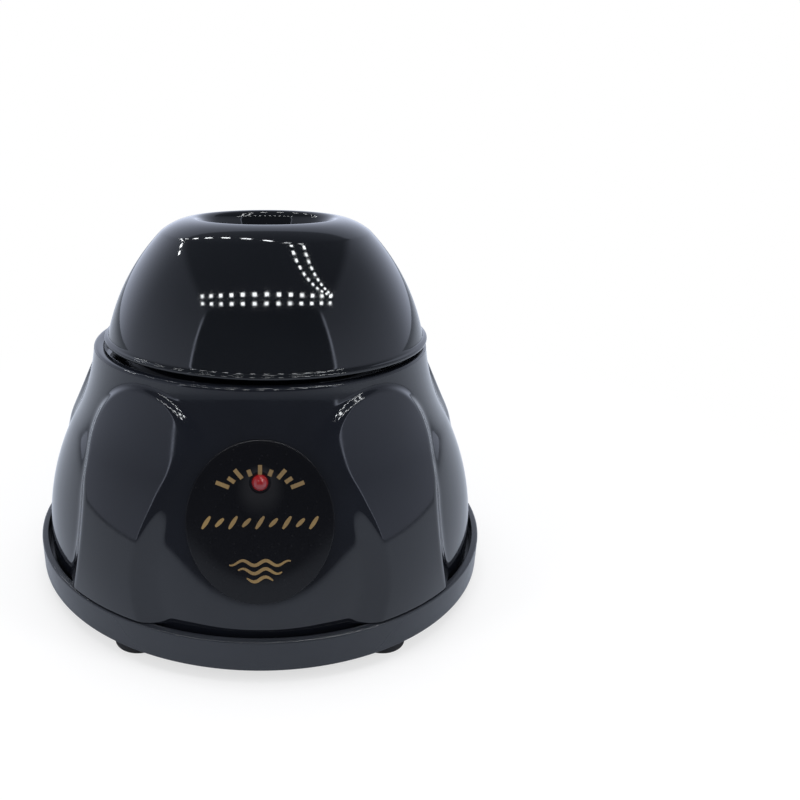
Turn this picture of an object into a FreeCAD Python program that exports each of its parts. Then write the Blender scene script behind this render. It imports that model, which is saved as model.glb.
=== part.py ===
import FreeCAD, Part
import os
import re
import Sketcher
from math import atan, cos, degrees, hypot, pi, sin, sqrt
from FreeCAD import Placement, Rotation, Vector

# Bench shaker for nail polish bottles. Millimetres, +Z up, origin at the bottom centre,
# front towards -Y. A press on the cup in the dome lowers the motor cradle on its springs,
# and the motor drives the dome round a small circle through an eccentric pin and a ball bearing.

SAME_POINT = 1e-6
LEAST_CUT = 1e-4
SEAM_TURN = -90

doc = FreeCAD.newDocument("Shaker")
sizes = doc.addObject("Spreadsheet::Sheet", "Sizes")

# Driving dimensions, one cell each
DRIVING = {
    # Base tray and feet
    "tray_radius": 52.5, "tray_proud": 2.7, "tray_tall": 6.5, "tray_floor": 2.5,
    "ledge_wide": 1.4, "tray_edge_round": 0.45,
    "foot_radius": 5.2, "foot_sunk": 0.8, "foot_across": 24.0, "foot_deep": 39.5,
    "foot_edge_round": 0.6, "ballast_inner": 26.5, "ballast_outer": 40.0, "ballast_thick": 3.5,
    # Bell shell: valley flank and raised panels
    "skirt_radius": 50.2, "belly_radius": 48.4, "belly_tall": 22.5, "knee_radius": 42.8,
    "knee_tall": 36.0, "neck_radius": 37.3, "shell_tall": 52.6, "neck_round": 0.6,
    "shell_wall": 2.2, "deck_inner": 29.0, "deck_drop": 1.8, "deck_thick": 2.0,
    "collar_thick": 2.0, "collar_tall": 56.5, "rim_wide": 2.3,
    "panel_seam": 0.15, "panel_radius": 52.3, "panel_belly": 50.3, "panel_knee": 44.4,
    "panel_crown": 38.2, "panel_crown_tall": 50.6, "panel_foot_half": 8.2,
    "panel_head_half": 14.0, "panel_head_tall": 42.6, "panel_arch_tall": 49.9,
    "bevel_rate": 1.4, "panel_count": 5, "panel_turn": 180.0,
    "panel_out": 2.6, "panel_in": 5.0, "panel_core_out": 0.6, "panel_core_inset": 3.1,
    "panel_below": 6.5,
    # Front pad and label
    "pad_low_radius": 49.7, "pad_low_tall": 12.0, "pad_high_radius": 38.45,
    "pad_high_tall": 45.6, "label_wide": 27.2, "label_long": 30.2, "label_thick": 0.6,
    "label_tall": 29.2, "led_radius": 1.5, "led_up": 7.3, "led_proud": 2.3,
    "led_flange": 1.9, "led_flange_thick": 1.0, "led_gap": 0.05, "led_hole": 2.0,
    "lead_radius": 0.25, "lead_pitch": 1.27, "lead_long": 7.0,
    # Fixing screws of shell, standoffs, board
    "fixing_reach": 44.0, "fixing_shank": 1.45, "fixing_head": 2.8, "fixing_sunk": 1.3,
    "fixing_long": 12.0, "fixing_boss": 3.1, "fixing_boss_tall": 20.0, "thread_gap": 0.05,
    "support_count": 3, "support_turn": 30.0, "pin_turn": 90.0, "fixing_head_gap": 0.3,
    "fixing_tip_gap": 1.0, "fixing_head_thick": 1.2, "standoff_shank": 1.2, "standoff_long": 9.0,
    "standoff_reach": 21.0, "standoff_radius": 3.4, "standoff_tall": 38.0,
    "guide_shank": 1.5, "guide_gap": 0.08, "guide_head": 2.8, "guide_head_thick": 1.8,
    "guide_sunk": 8.0, "stop_gap": 0.05, "press_travel": 0.7,
    "spring_radius": 2.45, "spring_wire": 0.4, "spring_turns": 4, "spring_end_gap": 0.05,
    # Motor and cradle
    "motor_low": 14.6, "motor_radius": 13.85, "motor_wall": 1.0, "motor_boss": 4.9,
    "motor_boss_tall": 1.8, "cap_end": 0.8, "cap_boss": 3.2, "cap_boss_tall": 2.0,
    "cap_flange": 2.0,
    "cap_plug": 2.4, "shaft_radius": 1.15, "shaft_gap": 0.05, "shaft_top": 59.4,
    "magnet_inner": 11.0, "magnet_low": 22.0, "magnet_long": 22.0, "magnet_slot": 8.0,
    "core_radius": 10.5, "core_low": 25.0, "core_long": 16.0, "core_slots": 5,
    "slot_half": 0.8, "slot_round": 2.3, "slot_reach": 6.9, "winding_inner": 4.2,
    "winding_radius": 9.2, "winding_tall": 2.6, "winding_gap": 0.1,
    "commutator_radius": 2.8, "commutator_low": 19.6, "commutator_slit": 0.15,
    "commutator_root": 2.2, "brush_wide": 2.2, "brush_gap": 0.1,
    "brush_tall": 1.9, "tab_wide": 2.8, "tab_thick": 0.6, "tab_tall": 4.0,
    "tab_reach": 8.6,
    "cradle_low": 48.6, "cradle_thick": 2.0, "cradle_radius": 26.0, "cradle_sleeve": 15.4,
    "cradle_sleeve_tall": 7.0, "sleeve_gap": 0.05, "motor_screw_reach": 8.0,
    "motor_screw_shank": 1.2, "motor_screw_head": 2.1, "motor_screw_long": 3.0,
    "cradle_window": 3.0, "cradle_window_reach": 20.0, "window_count": 6,
    "motor_head_thick": 1.2, "shaft_end_gap": 0.1,
    # Eccentric drive and bearing
    "throw": 1.2, "hub_low": 51.2, "hub_radius": 8.6, "hub_thick": 5.2, "pin_radius": 4.0,
    "pin_top": 63.4, "grub_radius": 1.5, "grub_long": 6.4, "weight_outer": 17.0,
    "weight_thick": 4.2, "weight_half_angle": 62.0, "weight_ring": 10.6, "seat_radius": 5.5,
    "seat_tall": 0.2, "grub_play": 0.1,
    "bearing_bore": 4.0, "bearing_outer": 11.0, "bearing_thick": 7.0, "race_inner": 6.1,
    "race_outer": 8.9, "ball_radius": 1.95, "ball_gap": 0.04, "ball_count": 7,
    # Head carrier and dome
    "carrier_radius": 27.0, "carrier_low": 57.5, "carrier_thick": 2.5, "carrier_hub": 13.4,
    "carrier_lip": 9.4, "carrier_lip_thick": 0.9, "carrier_skirt": 1.0,
    "carrier_lip_gap": 0.05, "carrier_screw": 1.25, "carrier_screw_head": 2.5,
    "carrier_head_thick": 1.6, "carrier_screw_long": 10.5, "rib_count": 6, "rib_end": 25.5,
    "pin_core": 1.5, "pin_head": 2.3, "pin_head_thick": 0.6, "pin_sleeve": 2.5, "pin_tall": 60.2,
    "pin_play": 0.15,
    "rib_half": 0.8, "rib_tall": 3.0, "fit_gap": 0.03,
    "lip_low": 53.6, "lip_radius": 36.1, "lip_tall": 0.8, "brow_radius": 35.1,
    "brow_tall": 54.9, "dome_mid_radius": 30.6, "dome_mid_tall": 66.0,
    "fold_radius": 22.7, "fold_tall": 76.25, "shoulder_radius": 18.8, "shoulder_tall": 78.55,
    "crest_radius": 15.9, "total_tall": 79.0, "mouth_radius": 13.7, "mouth_tall": 77.7,
    "cup_mid_radius": 10.9, "cup_mid_tall": 71.2, "cup_foot_radius": 5.6,
    "cup_floor_tall": 67.0, "dome_wall": 2.0, "cup_floor_thick": 2.2,
    "dome_boss": 3.2, "dome_bore_spare": 1.0, "cup_wall": 2.0,
    # Press switch under the motor
    "press_half_wide": 6.4, "press_half_deep": 2.9, "press_tall": 6.5, "plunger_radius": 1.1,
    "plunger_gap": 0.05, "plunger_touch": 0.1, "plunger_sunk": 2.0, "rail_gap": 0.1,
    "rail_thick": 1.2, "rail_tall": 4.0, "rail_half": 5.0,
    # Control board
    "board_wide": 13.0, "board_long": 26.0, "board_thick": 1.6, "board_reach": 33.5,
    "board_low": 12.0, "board_hole_reach": 10.4, "board_boss": 2.2, "board_boss_gap": 0.4,
    "board_bore_deep": 6.0, "board_screw": 1.0, "board_screw_head": 2.0,
    "board_head_thick": 1.2, "board_screw_long": 5.0, "capacitor_radius": 3.1,
    "capacitor_tall": 7.5, "capacitor_along": 3.6, "chip_wide": 4.6, "chip_long": 6.4,
    "chip_tall": 1.8, "chip_along": 5.0, "resistor_radius": 1.0, "resistor_long": 6.2,
    "resistor_across": 4.4,
    # Power inlet at the rear
    "jack_tall": 16.5, "jack_face": 50.1, "jack_radius": 5.5, "jack_flange": 6.9,
    "jack_flange_thick": 1.4, "jack_long": 12.5, "jack_bore": 3.2, "jack_bore_deep": 9.5,
    "jack_pin_radius": 1.0, "jack_pin_short": 1.6, "jack_pin_sunk": 2.0, "jack_spot": 7.1,
    "jack_wall": 4.9,
    "nut_radius": 7.6, "nut_thick": 2.2, "jack_gap": 0.1, "jack_land": 8.4,
    # Rocker switch at the rear
    "rear_low_radius": 49.0, "rear_low_tall": 24.2, "rear_high_radius": 39.9,
    "rear_high_tall": 45.4, "rocker_tall": 34.6, "bezel_wide": 10.6, "bezel_long": 15.2,
    "bezel_thick": 1.5, "bezel_round": 1.2, "case_wide": 8.6, "case_long": 13.2,
    "case_deep": 10.5, "case_gap": 0.1, "mouth_wide": 7.0, "mouth_long": 11.6,
    "mouth_deep": 4.6, "rocker_wide": 6.6, "rocker_half": 5.25, "rocker_ear": 1.7,
    "rocker_dip": 0.7, "rocker_keel": 2.4, "rocker_tilt": 9.0, "pivot_radius": 0.7,
    "pivot_gap": 0.06, "pivot_reach": 4.0, "pivot_sunk": 0.9, "lug_wide": 4.8,
    "lug_thick": 0.8, "lug_long": 5.0, "lug_pitch": 4.6,
    "rear_pad_wide": 12.6, "rear_land": 1.6,
}

# Derived radii, reaches and levels, each from the driving ones
DERIVED = {
    "tray_top": "=tray_proud + tray_tall", "floor_top": "=tray_proud + tray_floor",
    "pocket_radius": "=tray_radius - ledge_wide", "foot_top": "=tray_proud + foot_sunk",
    "foot_pocket": "=foot_radius + fit_gap",
    "ballast_hole": "=board_boss + board_boss_gap", "panel_low": "=tray_top + panel_seam",
    "deck_top": "=shell_tall - deck_drop", "deck_low": "=deck_top - deck_thick",
    "rim_inner": "=neck_radius - rim_wide", "collar_outer": "=deck_inner + collar_thick",
    "seat": "=tray_proud + fixing_sunk", "head_low": "=seat - fixing_head_thick",
    "recess": "=fixing_head + fixing_head_gap", "fixing_hole": "=fixing_shank + thread_gap",
    "fixing_tip": "=seat + fixing_long", "fixing_bore": "=fixing_long + fixing_tip_gap",
    "standoff_hole": "=standoff_shank + thread_gap", "standoff_tip": "=seat + standoff_long",
    "standoff_bore": "=standoff_tip + fixing_tip_gap",
    "guide_low": "=standoff_tall - guide_sunk", "guide_bore": "=guide_low - fixing_tip_gap",
    "guide_thread": "=guide_shank + thread_gap", "guide_hole": "=guide_shank + guide_gap",
    "guide_head_low": "=cradle_top + stop_gap", "guide_top": "=guide_head_low + guide_head_thick",
    "cradle_top": "=cradle_low + cradle_thick", "bore_radius": "=shaft_radius + shaft_gap",
    "boss_bore": "=motor_boss + sleeve_gap", "sleeve_low": "=cradle_low - cradle_sleeve_tall",
    "sleeve_bore": "=motor_radius + sleeve_gap",
    "motor_screw_hole": "=motor_screw_shank + thread_gap",
    "motor_recess": "=motor_screw_head + thread_gap",
    "motor_head_low": "=cradle_top - motor_head_thick",
    "motor_screw_tip": "=motor_head_low - motor_screw_long",
    "pin_hole": "=pin_core + fit_gap", "pin_head_top": "=pin_tall + pin_head_thick",
    "sleeve_top": "=pin_tall - fit_gap", "motor_high": "=cradle_low",
    "cap_low": "=motor_low - cap_boss_tall", "can_low": "=motor_low + cap_flange",
    "can_inner": "=motor_radius - motor_wall", "can_roof": "=motor_high - motor_wall",
    "boss_top": "=motor_high + motor_boss_tall", "plug_top": "=can_low + cap_plug",
    "plug_radius": "=can_inner - sleeve_gap", "cap_bore": "=cap_low + cap_end",
    "shaft_low": "=cap_bore + shaft_end_gap", "tab_inner": "=tab_reach - tab_thick / 2",
    "tab_outer": "=tab_reach + tab_thick / 2", "tab_half": "=tab_wide / 2",
    "tab_slot_in": "=tab_inner - thread_gap", "tab_slot_out": "=tab_outer + thread_gap",
    "tab_slot_half": "=tab_half + thread_gap", "tab_foot": "=motor_low - tab_tall",
    "brush_inner": "=commutator_radius + brush_gap",
    "brush_low": "=commutator_low + brush_gap", "brush_top": "=brush_low + brush_tall",
    "core_top": "=core_low + core_long", "winding_low": "=core_low - winding_tall",
    "commutator_top": "=winding_low - winding_gap",
    "hub_top": "=hub_low + hub_thick", "hub_mid": "=hub_low + hub_thick / 2",
    "grub_hole": "=grub_radius + thread_gap", "grub_start": "=bore_radius + thread_gap",
    "hub_bore_top": "=shaft_top + shaft_end_gap", "bearing_low": "=hub_top + seat_tall",
    "weight_low": "=hub_mid - weight_thick / 2", "weight_top": "=hub_mid + weight_thick / 2",
    "weight_bore": "=hub_radius + fit_gap", "weight_access": "=grub_hole + grub_play",
    "bearing_top": "=bearing_low + bearing_thick",
    "bearing_mid": "=bearing_low + bearing_thick / 2",
    "ball_reach": "=(race_inner + race_outer) / 2", "race_radius": "=ball_radius + ball_gap",
    "race_bore": "=bearing_bore + fit_gap", "carrier_bore": "=bearing_outer + fit_gap",
    "carrier_top": "=carrier_low + carrier_thick", "carrier_lid": "=bearing_top + carrier_lip_gap",
    "lip_top": "=carrier_lid + carrier_lip_thick", "carrier_foot": "=carrier_low - carrier_skirt",
    "wander_hole": "=pin_sleeve + throw + pin_play",
    "carrier_screw_hole": "=carrier_screw + thread_gap",
    "carrier_head_low": "=carrier_low - carrier_head_thick",
    "carrier_tip": "=carrier_low + carrier_screw_long",
    "dome_bore": "=carrier_tip + dome_bore_spare", "press_top": "=floor_top + press_tall",
    "rail_near": "=press_half_deep + rail_gap", "rail_far": "=rail_near + rail_thick",
    "plunger_hole": "=plunger_radius + plunger_gap", "plunger_top": "=cap_low - plunger_touch",
    "plunger_low": "=press_top - plunger_sunk",
    "plunger_bore": "=plunger_low - press_travel - plunger_touch",
    "board_top": "=board_low + board_thick", "board_near": "=board_reach - board_wide / 2",
    "board_far": "=board_reach + board_wide / 2", "board_half_long": "=board_long / 2",
    "board_screw_hole": "=board_screw + thread_gap", "board_bore": "=board_low - board_bore_deep",
    "board_head_top": "=board_top + board_head_thick",
    "board_screw_tip": "=board_top - board_screw_long",
    "jack_floor": "=jack_bore_deep - jack_flange_thick", "jack_root": "=jack_floor + jack_pin_sunk",
    "jack_pin_hole": "=jack_pin_radius + thread_gap",
    "jack_pin_top": "=jack_flange_thick - jack_pin_short", "jack_hole": "=jack_radius + jack_gap",
    "bezel_half": "=bezel_wide / 2", "bezel_half_long": "=bezel_long / 2",
    "case_half": "=case_wide / 2", "case_half_long": "=case_long / 2",
    "mouth_half": "=mouth_wide / 2", "mouth_half_long": "=mouth_long / 2",
    "mouth_floor": "=mouth_deep - bezel_thick", "pivot_level": "=bezel_thick - pivot_sunk",
    "pivot_hole": "=pivot_radius + pivot_gap", "pivot_bore": "=pivot_reach + pivot_gap",
    "ear_level": "=pivot_level + rocker_ear", "dip_level": "=ear_level - rocker_dip",
    "keel_level": "=rocker_keel - pivot_level", "keel_half": "=rocker_half / 4",
    "wing_level": "=rocker_keel / 4 - pivot_level",
}


def fill_sheet():
    """Puts every driving size and every derived formula into the sheet under its own name."""
    row = 1
    for table in (DRIVING, DERIVED):
        for name, content in table.items():
            sizes.set("A%d" % row, name)
            sizes.set("B%d" % row, str(content))
            sizes.setAlias("B%d" % row, name)
            row = row + 1
    doc.recompute()


def size(name):
    """Value of a named size; axis is zero and a leading minus turns the sign."""
    if name == "axis":
        return 0.0
    if name.startswith("-"):
        return -float(sizes.get(name[1:]))
    return float(sizes.get(name))


def bind(thing, field, text):
    """Ties one field of an object to a formula of named sizes."""
    thing.setExpression(field, re.sub(r"[a-z][a-z_]+", r"Sizes.\g<0>", text))


def origin_part(body, role):
    """Origin plane or axis of a body by its role."""
    for feature in body.Origin.OriginFeatures:
        if feature.Role == role:
            return feature
    raise RuntimeError("no " + role)


def new_sketch(body, role, label, level=None):
    """Empty sketch on one of the body's own origin planes, lifted to a named level."""
    sketch = body.newObject("Sketcher::SketchObject", label)
    sketch.AttachmentSupport = (origin_part(body, role), [""])
    sketch.MapMode = "FlatFace"
    if level == "axis":
        level = None
    if level:
        bind(sketch, ".AttachmentOffset.Base.z", level)
    return sketch


def pin_point(sketch, edge, end, across, up):
    """Holds a sketch point at two named sizes."""
    for kind, name, axis in (("DistanceX", across, -2), ("DistanceY", up, -1)):
        if name == "axis":
            sketch.addConstraint(Sketcher.Constraint("PointOnObject", edge, end, axis))
            continue
        order = (edge, end, -1, 1) if name.startswith("-") else (-1, 1, edge, end)
        index = sketch.addConstraint(Sketcher.Constraint(kind, *order, abs(size(name))))
        bind(sketch, "Constraints[%d]" % index, name.lstrip("-"))


def polygon(sketch, corners):
    """Closed outline through named corners, each held by its two sizes."""
    points = [Vector(size(across), size(up), 0) for across, up in corners]
    count = len(points)
    first = sketch.GeometryCount
    for i in range(count):
        sketch.addGeometry(Part.LineSegment(points[i], points[(i + 1) % count]))
    for i in range(count):
        nearby = first + (i + 1) % count
        sketch.addConstraint(Sketcher.Constraint("Coincident", first + i, 2, nearby, 1))
    for i in range(count):
        pin_point(sketch, first + i, 1, corners[i][0], corners[i][1])


def circles(sketch, places, radius):
    """Circles of one named radius at named places."""
    for across, up in places:
        centre = Vector(size(across), size(up), 0)
        edge = sketch.addGeometry(Part.Circle(centre, Vector(0, 0, 1), size(radius)))
        index = sketch.addConstraint(Sketcher.Constraint("Radius", edge, size(radius)))
        bind(sketch, "Constraints[%d]" % index, radius)
        pin_point(sketch, edge, 3, across, up)


def corners_of(half_wide, half_long):
    """Corners of a rectangle about the origin from its two named halves."""
    return [("-" + half_wide, "-" + half_long), (half_wide, "-" + half_long),
            (half_wide, half_long), ("-" + half_wide, half_long)]


def turned(label, corners):
    """Body turned about Z from an outline of named (radius, height) corners."""
    body = doc.addObject("PartDesign::Body", label)
    sketch = new_sketch(body, "XZ_Plane", label + "_section")
    polygon(sketch, corners)
    turn = body.newObject("PartDesign::Revolution", label + "_turn")
    turn.Profile = sketch
    turn.ReferenceAxis = (sketch, ["V_Axis"])
    turn.Angle = 360
    body.Tip = turn
    doc.recompute()
    return body


def raised(body, label, draw, low, length):
    """Pad of a drawn sketch from a named level up by a formula; makes the body if it has none."""
    if isinstance(body, str):
        body = doc.addObject("PartDesign::Body", body)
    sketch = new_sketch(body, "XY_Plane", label + "_outline", low)
    draw(sketch)
    pad = body.newObject("PartDesign::Pad", label)
    pad.Profile = sketch
    bind(pad, "Length", length)
    body.Tip = pad
    doc.recompute()
    return body


def sunk(body, label, draw, low, length, count=None, turn_by=0.0):
    """Pocket of a drawn sketch from a named level up by a formula, repeated about Z if counted."""
    sketch = new_sketch(body, "XY_Plane", label + "_outline", low)
    if turn_by:
        sketch.AttachmentOffset = Placement(sketch.AttachmentOffset.Base,
                                            Rotation(Vector(0, 0, 1), turn_by))
    draw(sketch)
    doc.recompute()
    before = body.Shape.Volume
    pocket = body.newObject("PartDesign::Pocket", label)
    pocket.Profile = sketch
    pocket.Reversed = True
    bind(pocket, "Length", length)
    body.Tip = pocket
    doc.recompute()
    if body.Shape.Volume > before - LEAST_CUT:
        raise RuntimeError("pocket cuts nothing: " + label)
    if count:
        pattern = body.newObject("PartDesign::PolarPattern", label + "_round")
        pattern.Originals = [pocket]
        pattern.Axis = (origin_part(body, "Z_Axis"), [""])
        pattern.Angle = 360
        bind(pattern, "Occurrences", count)
        body.Tip = pattern
        doc.recompute()
    return body


def rounded(body, label, radius, picks):
    """Fillet of the edges of the tip that a test picks."""
    base = body.Tip
    names = []
    for i, edge in enumerate(base.Shape.Edges):
        if picks(edge):
            names.append("Edge%d" % (i + 1))
    fillet = body.newObject("PartDesign::Fillet", label)
    fillet.Base = (base, names)
    bind(fillet, "Radius", radius)
    body.Tip = fillet
    doc.recompute()
    return body


def ring_edge(radius, level):
    """Test for a full circle about Z of a named radius at a named level."""
    def picks(edge):
        curve = edge.Curve
        return (hasattr(curve, "Radius") and abs(curve.Radius - size(radius)) < 1e-4
                and abs(edge.CenterOfMass.z - size(level)) < 1e-4)
    return picks


def shaped(label, shape, place=None):
    """Part feature that holds a worked-out shape, with its placement set after the shape."""
    feature = doc.addObject("Part::Feature", label)
    feature.Shape = shape
    if place:
        feature.Placement = place
    return feature


def around(shape, count, start=0.0):
    """Copies of a shape turned evenly about Z from a start angle."""
    copies = []
    for i in range(count):
        copy = shape.copy()
        copy.rotate(Vector(), Vector(0, 0, 1), start + 360.0 * i / count)
        copies.append(copy)
    return copies


def moved(shape, offset):
    """Copy of a shape moved by an offset."""
    copy = shape.copy()
    copy.translate(offset)
    return copy


def tube(outer, inner, low, high, centre=Vector()):
    """Upright tube between two radii and two levels."""
    base = centre + Vector(0, 0, low)
    solid = Part.makeCylinder(outer, high - low, base)
    if inner > 0:
        solid = solid.cut(Part.makeCylinder(inner, high - low, base))
    return solid


def block(low, high):
    """Box between two corners."""
    return Part.makeBox(high[0] - low[0], high[1] - low[1], high[2] - low[2], Vector(*low))


def in_section(radius, level):
    """Point of the turning section."""
    return Vector(radius, 0, level)


def turn_edges(edges):
    """Solid turned about Z from the edges of a closed section."""
    face = Part.Face(Part.Wire(Part.__sortEdges__(edges)))
    return face.revolve(Vector(), Vector(0, 0, 1), 360)


def chain(points):
    """Straight edges through the points, in order, where two in a row differ."""
    pairs = zip(points[:-1], points[1:])
    return [Part.LineSegment(a, b).toShape() for a, b in pairs if (b - a).Length > SAME_POINT]


def arc(start, middle, end):
    """Arc edge through three points."""
    return Part.Arc(start, middle, end).toShape()


def part(label, body):
    """Adds a finished sub-part under its node name."""
    body.Label = label
    parts.append(body)
    return body


def ring_group(label, one, reach, turn, count):
    """Group of a turned piece repeated evenly about Z at a reach."""
    doc.recompute()
    shape = moved(one.Shape, Vector(reach, 0, 0))
    return part(label, shaped(label, Part.makeCompound(around(shape, count, turn))))


def screw(label, low_head, seat, tip, head_radius, shank_radius):
    """Screw turned about Z from the named levels of its head, seat and tip."""
    return turned(label, [("axis", low_head), (head_radius, low_head), (head_radius, seat),
                          (shank_radius, seat), (shank_radius, tip), ("axis", tip)])


fill_sheet()
parts = []
SUPPORTS = int(size("support_count"))
THROW = Vector(size("throw"), 0, 0)


# Base: tray, feet, ballast and their screws
tray = turned("base_tray", [("axis", "tray_proud"), ("tray_radius", "tray_proud"),
                            ("tray_radius", "tray_top"), ("pocket_radius", "tray_top"),
                            ("pocket_radius", "floor_top"), ("axis", "floor_top")])
rounded(tray, "tray_foot_round", "tray_edge_round", ring_edge("tray_radius", "tray_proud"))
rounded(tray, "tray_lip_round", "tray_edge_round", ring_edge("tray_radius", "tray_top"))
BOARD_HOLES = [("-board_reach", "board_hole_reach"), ("-board_reach", "-board_hole_reach")]
FEET = [("foot_across", "foot_deep"), ("-foot_across", "foot_deep"),
        ("-foot_across", "-foot_deep"), ("foot_across", "-foot_deep")]


def switch_rails(sketch):
    """Two rails beside the press switch."""
    polygon(sketch, [("-rail_half", "rail_near"), ("rail_half", "rail_near"),
                     ("rail_half", "rail_far"), ("-rail_half", "rail_far")])
    polygon(sketch, [("-rail_half", "-rail_far"), ("rail_half", "-rail_far"),
                     ("rail_half", "-rail_near"), ("-rail_half", "-rail_near")])


raised(tray, "board_bosses", lambda sketch: circles(sketch, BOARD_HOLES, "board_boss"),
       "floor_top", "board_low - floor_top")
raised(tray, "rails", switch_rails, "floor_top", "rail_tall")
sunk(tray, "board_bores", lambda sketch: circles(sketch, BOARD_HOLES, "board_screw_hole"),
     "board_bore", "board_low - board_bore")
sunk(tray, "foot_pockets", lambda sketch: circles(sketch, FEET, "foot_pocket"),
     "tray_proud", "foot_sunk")
TURN = size("support_turn")
for reach, hole in (("fixing_reach", "fixing_hole"), ("standoff_reach", "standoff_hole")):
    place = [(reach, "axis")]
    sunk(tray, hole + "_row", lambda sketch: circles(sketch, place, hole), "tray_proud",
         "tray_floor", "support_count", TURN)
    sunk(tray, hole + "_recess", lambda sketch: circles(sketch, place, "recess"), "tray_proud",
         "fixing_sunk", "support_count", TURN)
part("base_tray", tray)

foot = turned("foot", [("axis", "axis"), ("foot_radius", "axis"), ("foot_radius", "foot_top"),
                       ("axis", "foot_top")])
rounded(foot, "foot_round", "foot_edge_round", ring_edge("foot_radius", "axis"))
feet = [moved(foot.Shape, Vector(size(across), size(deep), 0)) for across, deep in FEET]
part("rubber_feet", shaped("rubber_feet", Part.makeCompound(feet)))


def ballast_outline(sketch):
    """Ring with holes for the board bosses."""
    circles(sketch, [("axis", "axis")], "ballast_outer")
    circles(sketch, [("axis", "axis")], "ballast_inner")
    circles(sketch, BOARD_HOLES, "ballast_hole")


part("ballast_plate", raised("ballast_plate", "ballast", ballast_outline, "floor_top",
                             "ballast_thick"))
base_screw = screw("base_screw", "head_low", "seat", "fixing_tip", "fixing_head", "fixing_shank")
ring_group("base_screws", base_screw, size("fixing_reach"), TURN, SUPPORTS)
standoff = turned("standoff", [
    ("standoff_hole", "floor_top"), ("standoff_radius", "floor_top"),
    ("standoff_radius", "standoff_tall"), ("guide_thread", "standoff_tall"),
    ("guide_thread", "guide_bore"), ("axis", "guide_bore"), ("axis", "standoff_bore"),
    ("standoff_hole", "standoff_bore")])
ring_group("standoffs", standoff, size("standoff_reach"), TURN, SUPPORTS)
standoff_screw = screw("standoff_screw", "head_low", "seat", "standoff_tip", "fixing_head",
                       "standoff_shank")
ring_group("standoff_screws", standoff_screw, size("standoff_reach"), TURN, SUPPORTS)
guide_screw = screw("guide_screw", "guide_top", "guide_head_low", "guide_low", "guide_head",
                    "guide_shank")
ring_group("guide_screws", guide_screw, size("standoff_reach"), TURN, SUPPORTS)


# Return springs, one unbroken wire each, on arcs of half a turn and less
def arc_from(start, heading, end):
    """Arc that leaves a point along a heading and ends at another point."""
    chord = end - start
    bend = heading.getAngle(chord)
    across = heading.cross(chord).cross(chord).normalize()
    if across.dot(heading) < 0:
        across = across * -1
    sagitta = chord.Length / 2 * sin(bend / 2) / cos(bend / 2)
    return Part.Arc(start, (start + end) / 2 + across * sagitta, end).toShape()


def biarc(start, start_way, end, end_way):
    """Two arcs that join two points along two headings."""
    chord = end - start
    both = chord.dot(start_way + end_way)
    spare = 2 * (1 - start_way.dot(end_way))
    reach = (sqrt(both * both + spare * chord.dot(chord)) - both) / spare
    middle = (start + end + (start_way - end_way) * reach) / 2
    way = (end - end_way * reach - start - start_way * reach).normalize()
    return [arc_from(start, start_way, middle), arc_from(middle, way, end)]


def coil(radius, low, high, turns):
    """Edges of a helix about Z, two arcs to each quarter turn."""
    steps = 4 * turns
    rise = (high - low) / steps
    slope = atan(rise / (radius * pi / 2))

    def place(i):
        angle = i * pi / 2
        return Vector(radius * cos(angle), radius * sin(angle), low + rise * i)

    def way(i):
        angle = i * pi / 2
        return Vector(-sin(angle) * cos(slope), cos(angle) * cos(slope), sin(slope))

    edges = []
    for i in range(steps):
        edges = edges + biarc(place(i), way(i), place(i + 1), way(i + 1))
    return edges


def spring():
    """Coil spring between the standoff's top and the cradle."""
    wire = size("spring_wire")
    spare = wire + size("spring_end_gap")
    low = size("standoff_tall") + spare
    high = size("cradle_low") - spare
    turns = int(size("spring_turns"))
    edges = coil(size("spring_radius"), low, high, turns)
    heading = edges[0].tangentAt(edges[0].FirstParameter)
    ring = Part.Circle(edges[0].Vertexes[0].Point, heading, wire)
    tube_solid = Part.Wire(edges).makePipeShell([Part.Wire([ring.toShape()])], True, False)
    length = sum(edge.Length for edge in edges)
    print("spring volume / section times length: %.4f" % (
        tube_solid.Volume / (pi * wire * wire * length)))
    print("least gap of the spring's tube to itself: %.2f mm" % ((high - low) / turns - 2 * wire))
    return tube_solid


springs = around(moved(spring(), Vector(size("standoff_reach"), 0, 0)), SUPPORTS, TURN)
part("return_springs", shaped("return_springs", Part.makeCompound(springs)))


# Press switch under the motor
def plunger_hole(sketch):
    """Round hole on the axis."""
    circles(sketch, [("axis", "axis")], "plunger_hole")


press = raised("press_switch", "press_case",
               lambda sketch: polygon(sketch, corners_of("press_half_wide", "press_half_deep")),
               "floor_top", "press_tall")
sunk(press, "press_bore", plunger_hole, "plunger_bore", "press_top - plunger_bore")
part("press_switch", press)
part("press_switch_plunger", turned("press_switch_plunger", [
    ("axis", "plunger_low"), ("plunger_radius", "plunger_low"), ("plunger_radius", "plunger_top"),
    ("axis", "plunger_top")]))


# Control board on two bosses of the tray
def board_outline(sketch):
    """Board's edge and its two screw holes."""
    polygon(sketch, [("-board_far", "-board_half_long"), ("-board_near", "-board_half_long"),
                     ("-board_near", "board_half_long"), ("-board_far", "board_half_long")])
    circles(sketch, BOARD_HOLES, "board_screw_hole")


def board_piece(wide, long, tall, across, along):
    """Box on the board's top about a place on it."""
    centre = Vector(across - size("board_reach"), along, size("board_top"))
    return Part.makeBox(wide, long, tall, centre - Vector(wide / 2, long / 2, 0))


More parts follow.
